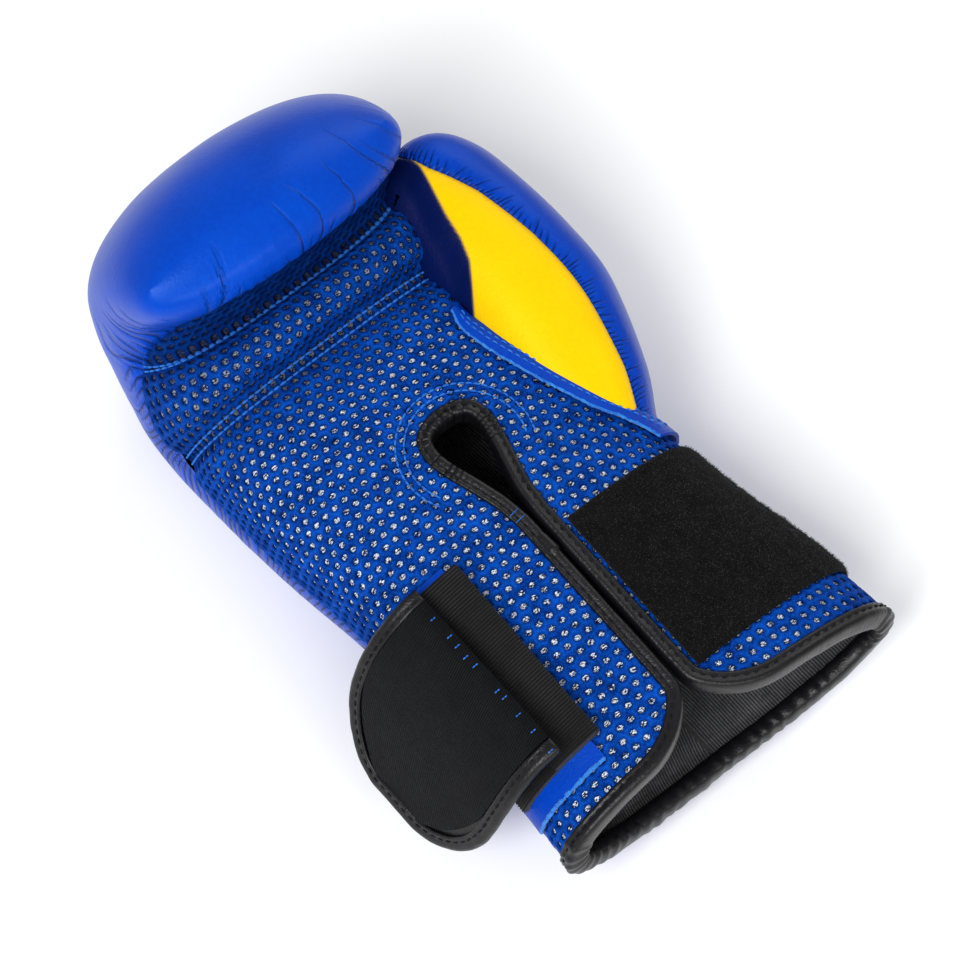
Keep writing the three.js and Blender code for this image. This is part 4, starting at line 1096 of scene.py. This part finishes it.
def thumb_part(first, last, columns, scallop):
    """One side of the thumb: its points, the distances from and along its seam, and its painted shade in
    the crotch.
    """
    f = np.linspace(0, 1, columns)
    a = first[:, None] + (last[:, None] - first[:, None]) * f
    t = np.repeat(thumb_t[:, None], columns, axis=1)
    p = tube(THUMB, t, a)
    n = unit(np.cross(tube(THUMB, t + 0.02, a) - tube(THUMB, t - 0.02, a),
                      tube(THUMB, t, a + 1) - tube(THUMB, t, a - 1)))
    away = np.linalg.norm(p - seam_thumb[:, None], axis=2)
    along = np.repeat(thumb_s[:, None], columns, axis=1)
    h = -1.5 * np.exp(-away / 1.5) + 0.5 * smooth(away, 1, 8) + 0.25 * rough(p, 17.0, 12)
    h += scallop * gathers(along, away, 2.3, 3.6, 15)
    p = p + n * h[..., None]
    p[-1] = p[-1].mean(axis=0)
    # the inner side sinks in the crotch of the thumb and is painted dark navy there: painted shade,
    # standing for the shaded mesh in the crotch
    edge = np.interp(p[..., 1], [3, 11, 16, 22, 30, 40, 50, 60],
                     [21, 26.5, 30, 34, 36.5, 38, 40.5, 43]) - p[..., 0]
    inner = (last[0] < 300) & (p[..., 1] > 3) & (first[:, None] > 0)
    p[..., 2] -= 5.0 * smooth(edge, 0, 8) * inner
    return p, away, along, smooth(edge, -0.4, 0.8) * inner


def outside_hand(points, faces, depth=2.5):
    """Faces that aren't buried in the hand form."""
    buried = np.zeros(len(points), bool)
    for k, p in enumerate(points):
        spot, normal, _, gap = pad_shell.find_nearest(Vector(p))
        buried[k] = (Vector(p) - spot).dot(normal) < 0 and gap > depth
    return faces[~buried[faces].all(axis=1)]


def past_trim(points, faces):
    """Faces on the palm side of the trim strip, where the thumb has ended."""
    up = (points[:, 1] + Y0) / REACH
    inner = np.interp(up, TRIM[:, 0], TRIM[:, 1], left=0.40) * SPREAD + 2.5
    past = (points[:, 0] < inner) & (up < 0.60) & (points[:, 2] > 45)
    return faces[~past[faces].all(axis=1)]


def thumb_piece(name, first, last, columns, scallop, material):
    p, away, along, crotch_shade = thumb_part(first, last, columns, scallop)
    faces = grid_faces(*p.shape[:2], flip=True)
    points = p.reshape(-1, 3)
    faces = past_trim(points, outside_hand(points, faces))
    used, where = np.unique(faces, return_inverse=True)
    return make(name, points[used], where.reshape(-1, 4), material,
                {"along": along.ravel()[used], "away": away.ravel()[used],
                 "crotch_shade": crotch_shade.ravel()[used]})


# %% Thumb leathers
far_angle = np.full(len(thumb_t), 205.0)
thumb_outer = thumb_piece("thumb_outer_leather", far_angle - 360, seam_angle, 120, 0.38,
                          thumb_leather)
thumb_inner = thumb_piece("thumb_inner_panel", seam_angle, far_angle, 72, 0.10, yellow_leather)
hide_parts("thumb_outer")
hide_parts("thumb_inner")

# %% [markdown]
# ## Trim at the thumb
# A strip of blue leather covers the seam between mesh and thumb. Its cut edge shows
# the lighter raw leather, and its end stands up a little in the crotch.

# %% Thumb trim
def on_hand(t, a, lift):
    """A point that stands off the outside by lift."""
    p, n = skin(t, a)
    return p + n * np.asarray(lift)[..., None]


trim_f = np.linspace(0, 1, 90)
trim_share = np.interp(trim_f, np.linspace(0, 1, len(TRIM)), TRIM[:, 0])
trim_low = np.interp(trim_share, TRIM[:, 0], TRIM[:, 1]) * SPREAD
trim_high = np.interp(trim_share, TRIM[:, 0], TRIM[:, 2]) * SPREAD
kernel = np.ones(9) / 9
for _ in range(2):
    trim_low = np.convolve(np.pad(trim_low, 4, mode="edge"), kernel, "valid")
    trim_high = np.convolve(np.pad(trim_high, 4, mode="edge"), kernel, "valid")
w = np.linspace(0, 1, 12)
trim_t = np.repeat(row_at(trim_share)[:, None], 12, axis=1)
trim_x = trim_low[:, None] + (trim_high - trim_low)[:, None] * w
trim_a = angle_at(trim_t, trim_x)
curl = smooth(trim_f, 0.86, 1.0)[:, None] * 2.2
crown = 1.5 + 0.5 * np.sin(math.pi * w)[None] + curl * (1 - w)[None]
trim_top = on_hand(trim_t, trim_a, crown + 0.9)
trim_bottom = on_hand(trim_t, trim_a, crown - 0.5)
points, faces = slab(trim_top, trim_bottom)
trim = make("thumb_trim_strip", points, faces, plain_blue, sharp=50)
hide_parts("thumb_trim")


# %% Raw edge and stitches of the trim
def cord_along(name, line, radius, material, seed):
    """Fuzzy bead of cut leather along a line."""
    line = even(line, 0.7)[0]
    along = unit(np.gradient(line, axis=0))
    up = unit(np.cross(along, np.cross(np.array([0, 0, 1.0]), along)))
    out = unit(np.cross(along, up))
    q = np.linspace(0, math.tau, 8, endpoint=False)
    rings, faces = sweep(line, out, up, np.stack([np.cos(q) * radius, np.sin(q) * radius], -1))
    rings = rings + (rings - line[:, None]) * (0.55 * rough(rings, 0.9, seed))[..., None]
    rings[0], rings[-1] = line[0], line[-1]
    return make(name, rings.reshape(-1, 3), np.concatenate(faces), material)


edge_line = (trim_top[:, 0] + trim_bottom[:, 0]) / 2
cord_along("thumb_trim_raw_edge", edge_line, 0.6, raw_edge, 21)
rows = [(trim_top[2:-4, k], skin(trim_t[2:-4, k], trim_a[2:-4, k])[1], 2.2, 0.9, 0.33, 0.1)
        for k in (4, 7)]
stitches("thumb_trim_stitches", rows, blue_thread)

# %% [markdown]
# ## Lining and hand space
# A black twill lining covers the inside of the cuff and goes on down to the finger
# ends, so the glove is hollow. It is a thin closed sheet that follows the hollow of
# the solids, with the loose creases that a stitched-in lining has.

# %% Lining
def wall(t, k):
    """Thickness of the leather at the palm, the sides or the back, as k says."""
    return row(WALL, np.clip(t, 0, len(WALL) - 1))[..., k] * STAND


def line_depth(t):
    return (np.maximum(wall(t, 0), MESH + 0.6) + 0.6,
            np.maximum(wall(t, 1), MESH + 0.6) + 1.2 + 1.2 * np.clip((t - 2) / 1.5, 0, 1),
            wall(t, 2) + 0.45)


lining_t = np.concatenate([np.linspace(0, 1, 16, endpoint=False), np.linspace(1, 12.6, 130)])
lining_a = -90 + np.arange(240) * 360 / 240
lt, la = np.meshgrid(lining_t, lining_a, indexing="ij")
lrim = rim_row(la) + 0.03
lt = np.where(lt < 1, lrim + (1 - lrim) * lt, lt)


def lining_at(extra):
    depths = [d + extra for d in line_depth(lt)]
    p = hand(lt, la, *depths)
    n = unit(np.cross(np.gradient(p, axis=0), np.gradient(p, axis=1)))
    loose = smooth(lt, 1.1, 3.0)
    crease = 0.55 * rough(p * np.array([0.35, 1.0, 1.0]), 7.0, 31) + 0.5 * rough(p, 19.0, 32)
    return p - n * (loose * (0.6 + crease))[..., None]


lining_out, lining_in = lining_at(0.0), lining_at(LINING)
print("lining grid:", lt.shape)

# %% Lining sheet
gap_here = open_air(lt, la, 1.2)
lining_faces = grid_faces(*lt.shape, closed=True, flip=True)
quads = lining_faces[~gap_here.ravel()[lining_faces].any(axis=1)]
# the way into the thumb, an ellipse at each y, stays open
r = row(THUMB_HOLE, np.interp(lining_in[..., 1] + Y0, THUMB_HOLE[:, 0] * REACH, np.arange(7.0)))
ex = (lining_in[..., 0] - r[..., 1] * SPREAD) / (r[..., 3] * SPREAD + 1.2)
ez = (lining_in[..., 2] - r[..., 2] * STAND) / (r[..., 4] * STAND + 1.2)
mouth = (np.hypot(ex, ez) < 1) & (lining_in[..., 0] > 20) & (lt > 4.4) & (lt < 8)
quads = quads[~mouth.ravel()[quads].all(axis=1)]
n = lt.size
# the wall round each open edge joins the two faces
pairs = np.concatenate([quads[:, [0, 1]], quads[:, [1, 2]], quads[:, [2, 3]], quads[:, [3, 0]]])
seen = {(int(p), int(q)) for p, q in pairs}
rim_edges = np.array([(p, q) for p, q in seen if (q, p) not in seen])
walls = np.stack([rim_edges[:, 1], rim_edges[:, 0], rim_edges[:, 0] + n, rim_edges[:, 1] + n], -1)
faces = np.concatenate([quads, quads[:, ::-1] + n, walls])
around = np.cumsum(np.linalg.norm(np.diff(lining_in, axis=1, prepend=lining_in[:, :1]), axis=2), axis=1)
length = np.cumsum(np.linalg.norm(np.diff(lining_in, axis=0, prepend=lining_in[:1]), axis=2), axis=0)
both = np.concatenate([lining_out.reshape(-1, 3), lining_in.reshape(-1, 3)])
used, where = np.unique(faces, return_inverse=True)
lining = make("cuff_and_hand_lining", both[used], where.reshape(-1, 4), twill,
              {"across": np.concatenate([around.ravel()] * 2)[used],
               "along": np.concatenate([length.ravel()] * 2)[used]})
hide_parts("cuff_lining")

# %% Thumb pocket
pocket_t, pocket_a = np.meshgrid(np.linspace(1.0, 6, 40), np.linspace(0, 360, 40, endpoint=False),
                                 indexing="ij")
pocket = tube(THUMB_HOLE, pocket_t, pocket_a, -0.6)
pocket[-1] = pocket[-1].mean(axis=0)
inner_shell = BVHTree.FromPolygons([tuple(p) for p in lining_in.reshape(-1, 3)],
                                   lining_faces.tolist())
outside = np.zeros(pocket_t.size, bool)
for k, p in enumerate(pocket.reshape(-1, 3)):
    spot, normal, _, gap = inner_shell.find_nearest(Vector(p))
    outside[k] = (Vector(p) - spot).dot(normal) > -0.6
quads = grid_faces(*pocket_t.shape, closed=True)
quads = quads[outside[quads].any(axis=1)]
used, where = np.unique(quads, return_inverse=True)
make("thumb_lining", pocket.reshape(-1, 3)[used], where.reshape(-1, 4), twill,
     {"across": pocket_t.ravel()[used] * 9, "along": pocket_a.ravel()[used] * 0.3})

# %% [markdown]
# ## Binding
# One long strip of black leather is folded over every cut edge: down both sides of
# the slit, round the flap corners, along the rim and round the keyhole. It rolls
# over the edge like a bead, and it bunches where the curve is tight.

# %% Binding path
SLIT_TOP = 0.345


def flap_spot(side, f, share=None, rim_step=None):
    """Row and angle on a flap, f of the way from the slit to the flap's border."""
    border = thumb_edge if side > 0 else outer_edge
    if rim_step is None:
        t = float(row_at(share))
        a = float(angle_at(t, middle(share) + side * half_open(share)))
        return t, a + (float(border(t)) - a) * f
    t2 = float(row_at(0.02))
    start = float(angle_at(t2, middle(0.0) + side * SLIT / 2))
    a0 = start + (float(border(1.0)) - start) * f
    spread = float(row(HAND, t2)[4]) * SPREAD
    away = abs(math.radians(a0) - math.radians(float(angle_at(t2, middle(0.0))))) * spread * 0.9
    rise = 0 if away >= CORNER else CORNER - math.sqrt(CORNER ** 2 - (CORNER - away) ** 2)
    low = float(np.interp(a0, RIM[:, 0], RIM[:, 1])) * REACH + rise
    y = (low + (SLIT_TOP * REACH - low) * rim_step) / REACH
    t = float(row_at(y))
    a = float(angle_at(t, middle(y) + side * half_open(y)))
    return t, a + (float(border(t)) - a) * f


def binding_path():
    """Rows and angles once round the keyhole, the slit, both corners and the rim."""
    q = np.linspace(0, math.pi / 2, 16)
    top = 0.5 + (OPENING_END - 0.5) * np.cos(q)
    shares = np.concatenate([top, np.linspace(0.498, SLIT_TOP, 40)])
    steps = np.concatenate([np.linspace(1, 0.2, 40), np.linspace(0.2, 0, 24)[1:]])
    over = np.concatenate([np.linspace(0, 0.3, 24)[1:], np.linspace(0.3, 1, 24)[1:]])
    spots = [flap_spot(1, 0, s) for s in shares]
    spots += [flap_spot(1, 0, rim_step=s) for s in steps]
    spots += [flap_spot(1, f, rim_step=0) for f in over]
    for a in np.linspace(float(thumb_edge(1.0)) - 3, float(outer_edge(1.0)) - 360 + 3, 90):
        spots.append((float(rim_row(a + 360 if a < -90 else a)), a))
    spots += [flap_spot(-1, f, rim_step=0) for f in over[::-1]]
    spots += [flap_spot(-1, 0, rim_step=s) for s in steps[::-1]]
    spots += [flap_spot(-1, 0, s) for s in shares[::-1][:-1]]
    return np.array(spots)


path = binding_path()
edge_p, edge_n = skin(path[:, 0], path[:, 1])
line, at, edge_n = even(edge_p, 0.8, closed=True, extra=(edge_n,))
for _ in range(10):
    line = (np.roll(line, 1, 0) + 2 * line + np.roll(line, -1, 0)) / 4
    edge_n = unit(np.roll(edge_n, 1, 0) + 2 * edge_n + np.roll(edge_n, -1, 0))
along = unit(np.roll(line, -1, 0) - np.roll(line, 1, 0))
edge_n = unit(edge_n - along * np.sum(edge_n * along, axis=1, keepdims=True))
out = unit(np.cross(-edge_n, along))
print("binding length:", round(float(at[-1])), "mm")

# %% Binding strip
STACK = MESH + 6 * GAP + LINING
# steps out from the cloth's edge and up, once round the folded strip
SECTION = np.array([
    [-3.8, -0.2], [-3.7, 0.8], [-3.2, 1.3], [-2.4, 1.2], [-1.8, 0.95], [-1.1, 1.2], [-0.1, 1.7],
    [0.9, 1.65], [1.6, 1.0], [1.95, 0.0], [2.1, -1.5], [2.2, -3.5], [2.1, -STACK + 0.2],
    [1.6, -STACK - 1.0], [0.4, -STACK - 1.6], [-1.8, -STACK - 1.4], [-4.2, -STACK - 1.1],
    [-4.3, -STACK - 0.2], [-0.6, -STACK + 0.2], [-0.6, -0.4]])
key_top = (line[:, 1] > -38) & (np.abs(line[:, 0] + 10) < 16)
back_rim = line[:, 2] < 52
rings, faces = sweep(line, out, edge_n, SECTION, closed=True)
wave = at[:, None] + 1.4 * rough(rings, 5.0, 41)
gather = 0.07 + 0.13 * smooth(line[:, 1], -46, -28) * key_top + 0.34 * back_rim
ripple = (np.sin(wave * math.tau / np.where(back_rim, 5.6, 2.3)[:, None])
          * (0.55 + 0.75 * rough(rings, 9.0, 43)) + 0.8 * rough(rings, 7.0, 44))
shape = np.array([0, .3, .7, .9, 1, 1, 1, 1, 1, 1, 1, 1, 1, 1, 1, .8, .5, 0, 0, 0])
middle_of = line[:, None] - edge_n[:, None] * STACK / 2
push = unit(rings - middle_of)
rings = rings + push * (gather[:, None] * ripple * shape)[..., None]
rings = rings + push * (0.18 * rough(rings, 6.0, 42) * shape)[..., None]
# where the strip's two ends meet, one stands a little over the other
joint = hand(row_at(0.315), angle_at(row_at(0.315), middle(0.315) - SLIT / 2))
start = int(np.argmin(np.linalg.norm(line - joint, axis=1)))
step = np.zeros(len(line))
step[start - 8:start + 1] = np.linspace(0.9, 0.35, 9)
rings = rings + push * (step[:, None] * shape)[..., None]
pleat_away = np.where(key_top, 6.0, 30.0)
values = {"along": np.repeat(at[:, None], len(SECTION), 1),
          "away": np.repeat(pleat_away[:, None], len(SECTION), 1)}
binding = make("cuff_binding_strip", rings.reshape(-1, 3), np.concatenate(faces), black_leather,
               values)
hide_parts("cuff_binding")

# %% Binding stitches
groove = line - out * 1.8 + edge_n * 0.85
rows = [(groove, edge_n, 2.6, 1.1, 0.36, 0.25)]
stitches("cuff_binding_stitches", rows, black_thread)
near = start + 12
rows = [(np.array([line[k] + edge_n[k] * 2.0 - out[k] * o for o in (3.8, 0.2, -1.6)]),
         np.array([edge_n[k]] * 3), 4.6, 0.05, 0.16, 0.05) for k in (near, near + 4)]
stitches("loose_blue_thread", rows, blue_thread)

# %% [markdown]
# ## Loop patch
# The soft half of the fastener lies round the thumb side of the cuff. Its loops are
# a fine black fuzz, so a plain slab would look like rubber. Thousands of short
# fibres stand on it and break up its outline.

# %% Loop patch
def lerp(a, b, f):
    """The value f of the way from a to b."""
    return a + (b - a) * f


LIFT = 2 * GAP
patch_share = 0.066 + np.linspace(0, 1, 56) * STRAP_WIDTH * 0.9 / REACH
patch_t = np.repeat(row_at(patch_share)[:, None], 80, axis=1)
patch_a = lerp(angle_at(patch_t, np.full(patch_t.shape, PATCH_EDGE * SPREAD)), 0.0,
               np.linspace(0, 1, 80)[None])
pp, pn = skin(patch_t, patch_a)
bump_h = 0.30 * rough(pp, 2.2, 51) + 0.25 * rough(pp, 6.0, 52)
edge_fall = np.minimum(smooth(np.linspace(0, 1, 56), 0, 0.03), smooth(np.linspace(1, 0, 56), 0, 0.03))
lift = (LIFT + 0.5 + (PATCH - 0.5) * edge_fall[:, None] + bump_h * edge_fall[:, None])
points, faces = slab(pp + pn * lift[..., None], pp + pn * LIFT)
loop_patch = make("loop_patch_pile", points, faces, pile, sharp=60)
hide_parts("loop_patch")


# %% Loop fuzz
def fuzz(name, points, normals, count, length, material, seed):
    """Short bent fibres, two faces each, scattered over a grid."""
    rng = np.random.default_rng(seed)
    j = rng.integers(0, points.shape[0] - 1, count)
    i = rng.integers(0, points.shape[1] - 1, count)
    fj, fi = rng.random(count)[:, None], rng.random(count)[:, None]
    p = (points[j, i] * (1 - fj) * (1 - fi) + points[j + 1, i] * fj * (1 - fi)
         + points[j, i + 1] * (1 - fj) * fi + points[j + 1, i + 1] * fj * fi)
    lean = unit(normals[j, i] + rng.normal(size=(count, 3)))
    lean = unit(lean + normals[j, i] * 0.5)
    side = unit(np.cross(lean, rng.normal(size=(count, 3)))) * 0.06
    size = length * (0.5 + rng.random(count))[:, None]
    tip = p + lean * size
    bend = p + lean * size * 0.5 + side * 4.0
    v = np.stack([p - side, p + side, bend + side, bend - side, tip], 1)
    k = np.arange(count)[:, None] * 5
    faces = [list(f) for f in np.concatenate([k, k + 1, k + 2, k + 3], 1)]
    faces += [list(f) for f in np.concatenate([k + 3, k + 2, k + 4], 1)]
    return make(name, v.reshape(-1, 3), faces, material)


fuzz("loop_patch_fuzz", pp + pn * (lift - 0.05)[..., None], pn, 11000, 0.85, pile_tips,
     61)

# %% [markdown]
# ## Strap
# The strap opens towards the little finger side. A leather tab is sewn to the cuff,
# black elastic is doubled back over it, and the hook panel hangs off the elastic
# over the side of the cuff. Elastic is woven in cords, so its ribs are real relief.

# %% Strap tab
STRAP_LOW, FOLD = 0.080, -0.290
LOWER = LIFT + LEATHER + 2 * GAP
UPPER = LOWER + STRAP + 2 * GAP
tab_share = np.linspace(STRAP_LOW - 0.027, STRAP_LOW + (STRAP_WIDTH + 2) / REACH, 70)
tab_t = np.repeat(row_at(tab_share)[:, None], 40, axis=1)
tab_a = lerp(angle_at(tab_t, np.full(tab_t.shape, (FOLD - 0.025) * SPREAD)), 178.0,
             np.linspace(0, 1, 40)[None])
tp, tn = skin(tab_t, tab_a)
droop = 0.25 * rough(tp, 12.0, 71)
points, faces = slab(tp + tn * (LIFT + LEATHER + droop)[..., None], tp + tn * (LIFT + droop)[..., None])
tab = make("strap_tab_leather", points, faces, plain_blue, sharp=50)
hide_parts("strap_tab")
cord_along("strap_tab_raw_edge", (tp + tn * (LIFT + LEATHER * 0.6))[0], 0.75, raw_edge,
           72)

# %% Doubled elastic
elastic_f = np.linspace(0, 1, 330)
elastic_share = STRAP_LOW + elastic_f * STRAP_WIDTH / REACH


def fold_line(share):
    """Middle line of the doubled elastic across one section of the cuff."""
    t = float(row_at(share))
    fold_a = float(angle_at(t, FOLD * SPREAD))
    p1, n1 = skin(np.full(30, t), np.linspace(168, fold_a, 30))
    p2, n2 = skin(np.full(16, t), np.linspace(fold_a, float(angle_at(t, -0.405 * SPREAD)), 16))
    low = p1 + n1 * (LOWER + STRAP / 2)
    high = p2 + n2 * (UPPER + STRAP / 2)
    r = (UPPER - LOWER) / 2
    turn, n = hand(t, fold_a, -(LOWER + UPPER + STRAP) / 2), n1[-1]
    q = np.radians(np.linspace(-90, 90, 12))[1:-1]
    side = unit(np.cross(np.array([0, 1.0, 0]), n))
    bend = turn + side * (r * np.cos(q))[:, None] + n * (r * np.sin(q))[:, None]
    return np.concatenate([low, bend, high])


# every sixth line is worked out, and the ones between follow from those
lines = np.array([fold_line(s) for s in elastic_share[::6]])
grid = np.empty((len(elastic_share), lines.shape[1], 3))
for k in range(lines.shape[1]):
    for c in range(3):
        grid[:, k, c] = np.interp(elastic_share, elastic_share[::6], lines[:, k, c])
en = normals_of(grid)
rib = 0.24 * np.cos(elastic_f * STRAP_WIDTH / 1.15 * math.tau)[:, None]
half = en * (STRAP / 2 + rib)[..., None]
points, faces = slab(grid + half, grid - half)
across = np.repeat((elastic_f * STRAP_WIDTH)[:, None], grid.shape[1], 1).ravel()
run_on = np.repeat(np.arange(grid.shape[1])[None] * 1.1, len(elastic_f), 0).ravel()
elastic = make("strap_elastic_band", points, faces, elastic_weave,
               {"across": np.concatenate([across, across]), "along": np.concatenate([run_on, run_on])},
               sharp=60)
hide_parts("strap_elastic")

# %% [markdown]
# ## Hook panel
# The hook panel is a leather back with hook tape on the side that faces up, bound
# with the same black leather. It hangs by its own weight, so its end turns down.

# %% Panel back
panel_middle = (STRAP_LOW + 0.5 * STRAP_WIDTH / REACH) * REACH - Y0


def panel_point(t, f, lift):
    """A point lift above the panel, f of the way from its middle to a long side."""
    t, f = np.broadcast_arrays(np.asarray(t, float), np.asarray(f, float))
    r = row(PANEL, t)
    q = row(PANEL, np.minimum(t + 0.05, len(PANEL) - 1))
    p = row(PANEL, np.maximum(t - 0.05, 0))
    dx, dz = (q[..., 0] - p[..., 0]) * SPREAD, (q[..., 1] - p[..., 1]) * STAND
    length = np.hypot(dx, dz)
    side = np.where(f < 0, r[..., 2], r[..., 3])
    sag = 0.008 * STAND * np.cos(f * 1.5)
    return np.stack([r[..., 0] * SPREAD + lift * dz / length,
                     panel_middle + f * 2 * side * STRAP_WIDTH / 2,
                     r[..., 1] * STAND + sag - lift * dx / length], -1)


BASE, PANEL_HALF, LAP = 1.2, 0.96, 4.4
back_t, back_f = np.meshgrid(0.1 + 7.9 * np.linspace(0, 1, 60) ** 0.95,
                             np.linspace(-PANEL_HALF, PANEL_HALF, 46), indexing="ij")
wave = 0.3 * rough(panel_point(back_t, back_f, 0.0), 16.0, 81)
points, faces = slab(panel_point(back_t, back_f, BASE + LEATHER + wave),
                     panel_point(back_t, back_f, BASE + wave))
panel_back = make("strap_panel_back", points, faces, black_leather,
                  {"along": np.zeros(len(points)), "away": np.full(len(points), 30.0)}, sharp=50)
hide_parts("strap_panel")

# %% Hook tape
ht = np.repeat(np.linspace(0.12, 6.9, 70)[:, None], 60, axis=1)
hr = row(PANEL, ht)
lap = (LAP + GAP) * lerp(1.0, 1.9, np.clip((ht - 4.2) / 2.4, 0, 1))
width = PANEL_HALF - lap / (np.minimum(hr[..., 2], hr[..., 3]) * STRAP_WIDTH)
hf = np.linspace(-1, 1, 60)[None] * width
wave = 0.3 * rough(panel_point(ht, hf, 0.0), 16.0, 81)
weave = 0.10 * rough(panel_point(ht, hf, 0.0), 0.8, 82)
points, faces = slab(panel_point(ht, hf, BASE + LEATHER + GAP + 1.2 + wave + weave),
                     panel_point(ht, hf, BASE + LEATHER + GAP + wave))
grid = panel_point(ht, hf, 0.0)
hook = make("hook_patch_tape", points, faces, hook_weave,
            {"across": np.concatenate([grid[..., 1].ravel()] * 2),
             "along": np.concatenate([ht.ravel() * 6.0] * 2)}, sharp=60)
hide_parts("hook_patch")
rng = np.random.default_rng(83)
rows = []
for f in np.linspace(-0.86, 0.70, 10) + rng.normal(size=10) * 0.06:
    t0 = 0.42 + 0.05 * rng.normal()
    ts = np.linspace(t0, t0 + 0.4, 5)
    p = panel_point(ts, np.full(5, f), BASE + LEATHER + GAP + 1.3)
    rows.append((p, np.repeat([[0, 0, 1.0]], 5, 0), 1.1, 0.05, 0.26, 0.0))
stitches("hook_join_stitches", rows, blue_thread)

# %% Panel binding
edge_tf = np.concatenate([
    np.stack([back_t[:, 0], back_f[:, 0]], -1), np.stack([back_t[-1, 1:], back_f[-1, 1:]], -1),
    np.stack([back_t[-2::-1, -1], back_f[-2::-1, -1]], -1)])
mid_line = panel_point(edge_tf[:, 0], edge_tf[:, 1], BASE + LEATHER / 2)
over = panel_point(edge_tf[:, 0], edge_tf[:, 1], BASE + LEATHER / 2 + 1)
line2, at2, up2 = even(mid_line, 0.8, extra=(over - mid_line,))
for _ in range(8):
    line2[1:-1] = (line2[:-2] + 2 * line2[1:-1] + line2[2:]) / 4
    up2[1:-1] = unit(up2[:-2] + 2 * up2[1:-1] + up2[2:])
along2 = unit(np.gradient(line2, axis=0))
up2 = unit(up2 - along2 * np.sum(up2 * along2, axis=1, keepdims=True))
out2 = unit(np.cross(along2, up2))
hub = panel_point(3.0, 0.0, BASE)
out2 *= np.sign(np.sum(out2 * (line2 - hub), axis=1, keepdims=True))
# half of what the strip is folded round, then the strip's steps out and up
H = LEATHER / 2 + 2 * GAP
PANEL_SECTION = np.array([
    [-4.5, H - 0.2], [-4.4, H + 0.9], [-3.4, H + 1.05], [-2.4, H + 0.75], [-1.4, H + 1.0], [-0.2, H + 1.2],
    [0.8, H + 0.6], [1.45, 0.3], [1.45, -0.3], [0.8, -H - 0.6], [-0.2, -H - 1.1],
    [-4.3, -H - 0.9], [-4.4, -H + 0.2], [0.0, -H + 0.3], [0.0, H - 0.3]])
rings, faces = sweep(line2, out2, up2, PANEL_SECTION)
push = unit(rings - (line2 - out2 * 1.5)[:, None])
rings = rings + push * (0.16 * rough(rings, 4.0, 91))[..., None]
m = len(PANEL_SECTION)
faces = [list(f) for f in np.concatenate(faces)]
faces += [list(range(m))[::-1], [len(line2) * m - m + k for k in range(m)]]
panel_binding = make("strap_binding_strip", rings.reshape(-1, 3), faces, black_leather,
                     {"along": np.repeat(at2, m), "away": np.full(len(at2) * m, 30.0)})
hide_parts("strap_binding")
rows = [(line2 - out2 * 2.5 + up2 * (H + 0.75), up2, 2.6, 1.1, 0.34, 0.2)]
stitches("strap_binding_stitches", rows, black_thread)

# %% [markdown]
# ## Floor and light
# The picture is a plain studio shot on white. A wide pale floor and large soft
# lights give the same even light, with one stronger strip that draws the shine
# along the front of the fist.

# %% Floor and world
floor_mesh = bpy.data.meshes.new("floor")
floor_mesh.from_pydata([(-6, -6, -0.0004), (6, -6, -0.0004), (6, 6, -0.0004), (-6, 6, -0.0004)], [],
                       [(0, 1, 2, 3)])
floor = bpy.data.objects.new("floor", floor_mesh)
bpy.context.scene.collection.objects.link(floor)
paper = bpy.data.materials.new("pale_floor")
paper.use_nodes = True
paper.node_tree.nodes["Principled BSDF"].inputs["Base Color"].default_value = (0.93, 0.93, 0.93, 1)
paper.node_tree.nodes["Principled BSDF"].inputs["Roughness"].default_value = 0.9
floor_mesh.materials.append(paper)

world = bpy.data.worlds.new("studio")
bpy.context.scene.world = world
world.use_nodes = True
world.node_tree.nodes["Background"].inputs["Color"].default_value = (1, 1, 1, 1)
world.node_tree.nodes["Background"].inputs["Strength"].default_value = 0.5


# %% Lights
def softbox(name, place, aim_at, size, power):
    data = bpy.data.lights.new(name, "AREA")
    data.shape = "RECTANGLE"
    data.size, data.size_y = size
    data.energy = power
    lamp = bpy.data.objects.new(name, data)
    lamp.location = place
    lamp.rotation_mode = "QUATERNION"
    lamp.rotation_quaternion = (Vector(aim_at) - Vector(place)).to_track_quat("-Z", "Y")
    bpy.context.scene.collection.objects.link(lamp)
    return lamp


lamps = [softbox("key", (-1.35, -0.50, 1.75), (0, 0, 0.05), (0.7, 1.2), 36.0),
         softbox("strip", (-0.35, -0.95, 0.75), (-0.02, 0.08, 0.08), (0.9, 0.14), 5.0),
         softbox("fill", (0.9, 0.5, 0.9), (0, 0, 0.05), (0.9, 0.9), 5.0)]
bpy.context.scene.view_settings.view_transform = "Standard"
print("lights:", [lamp.name for lamp in lamps])
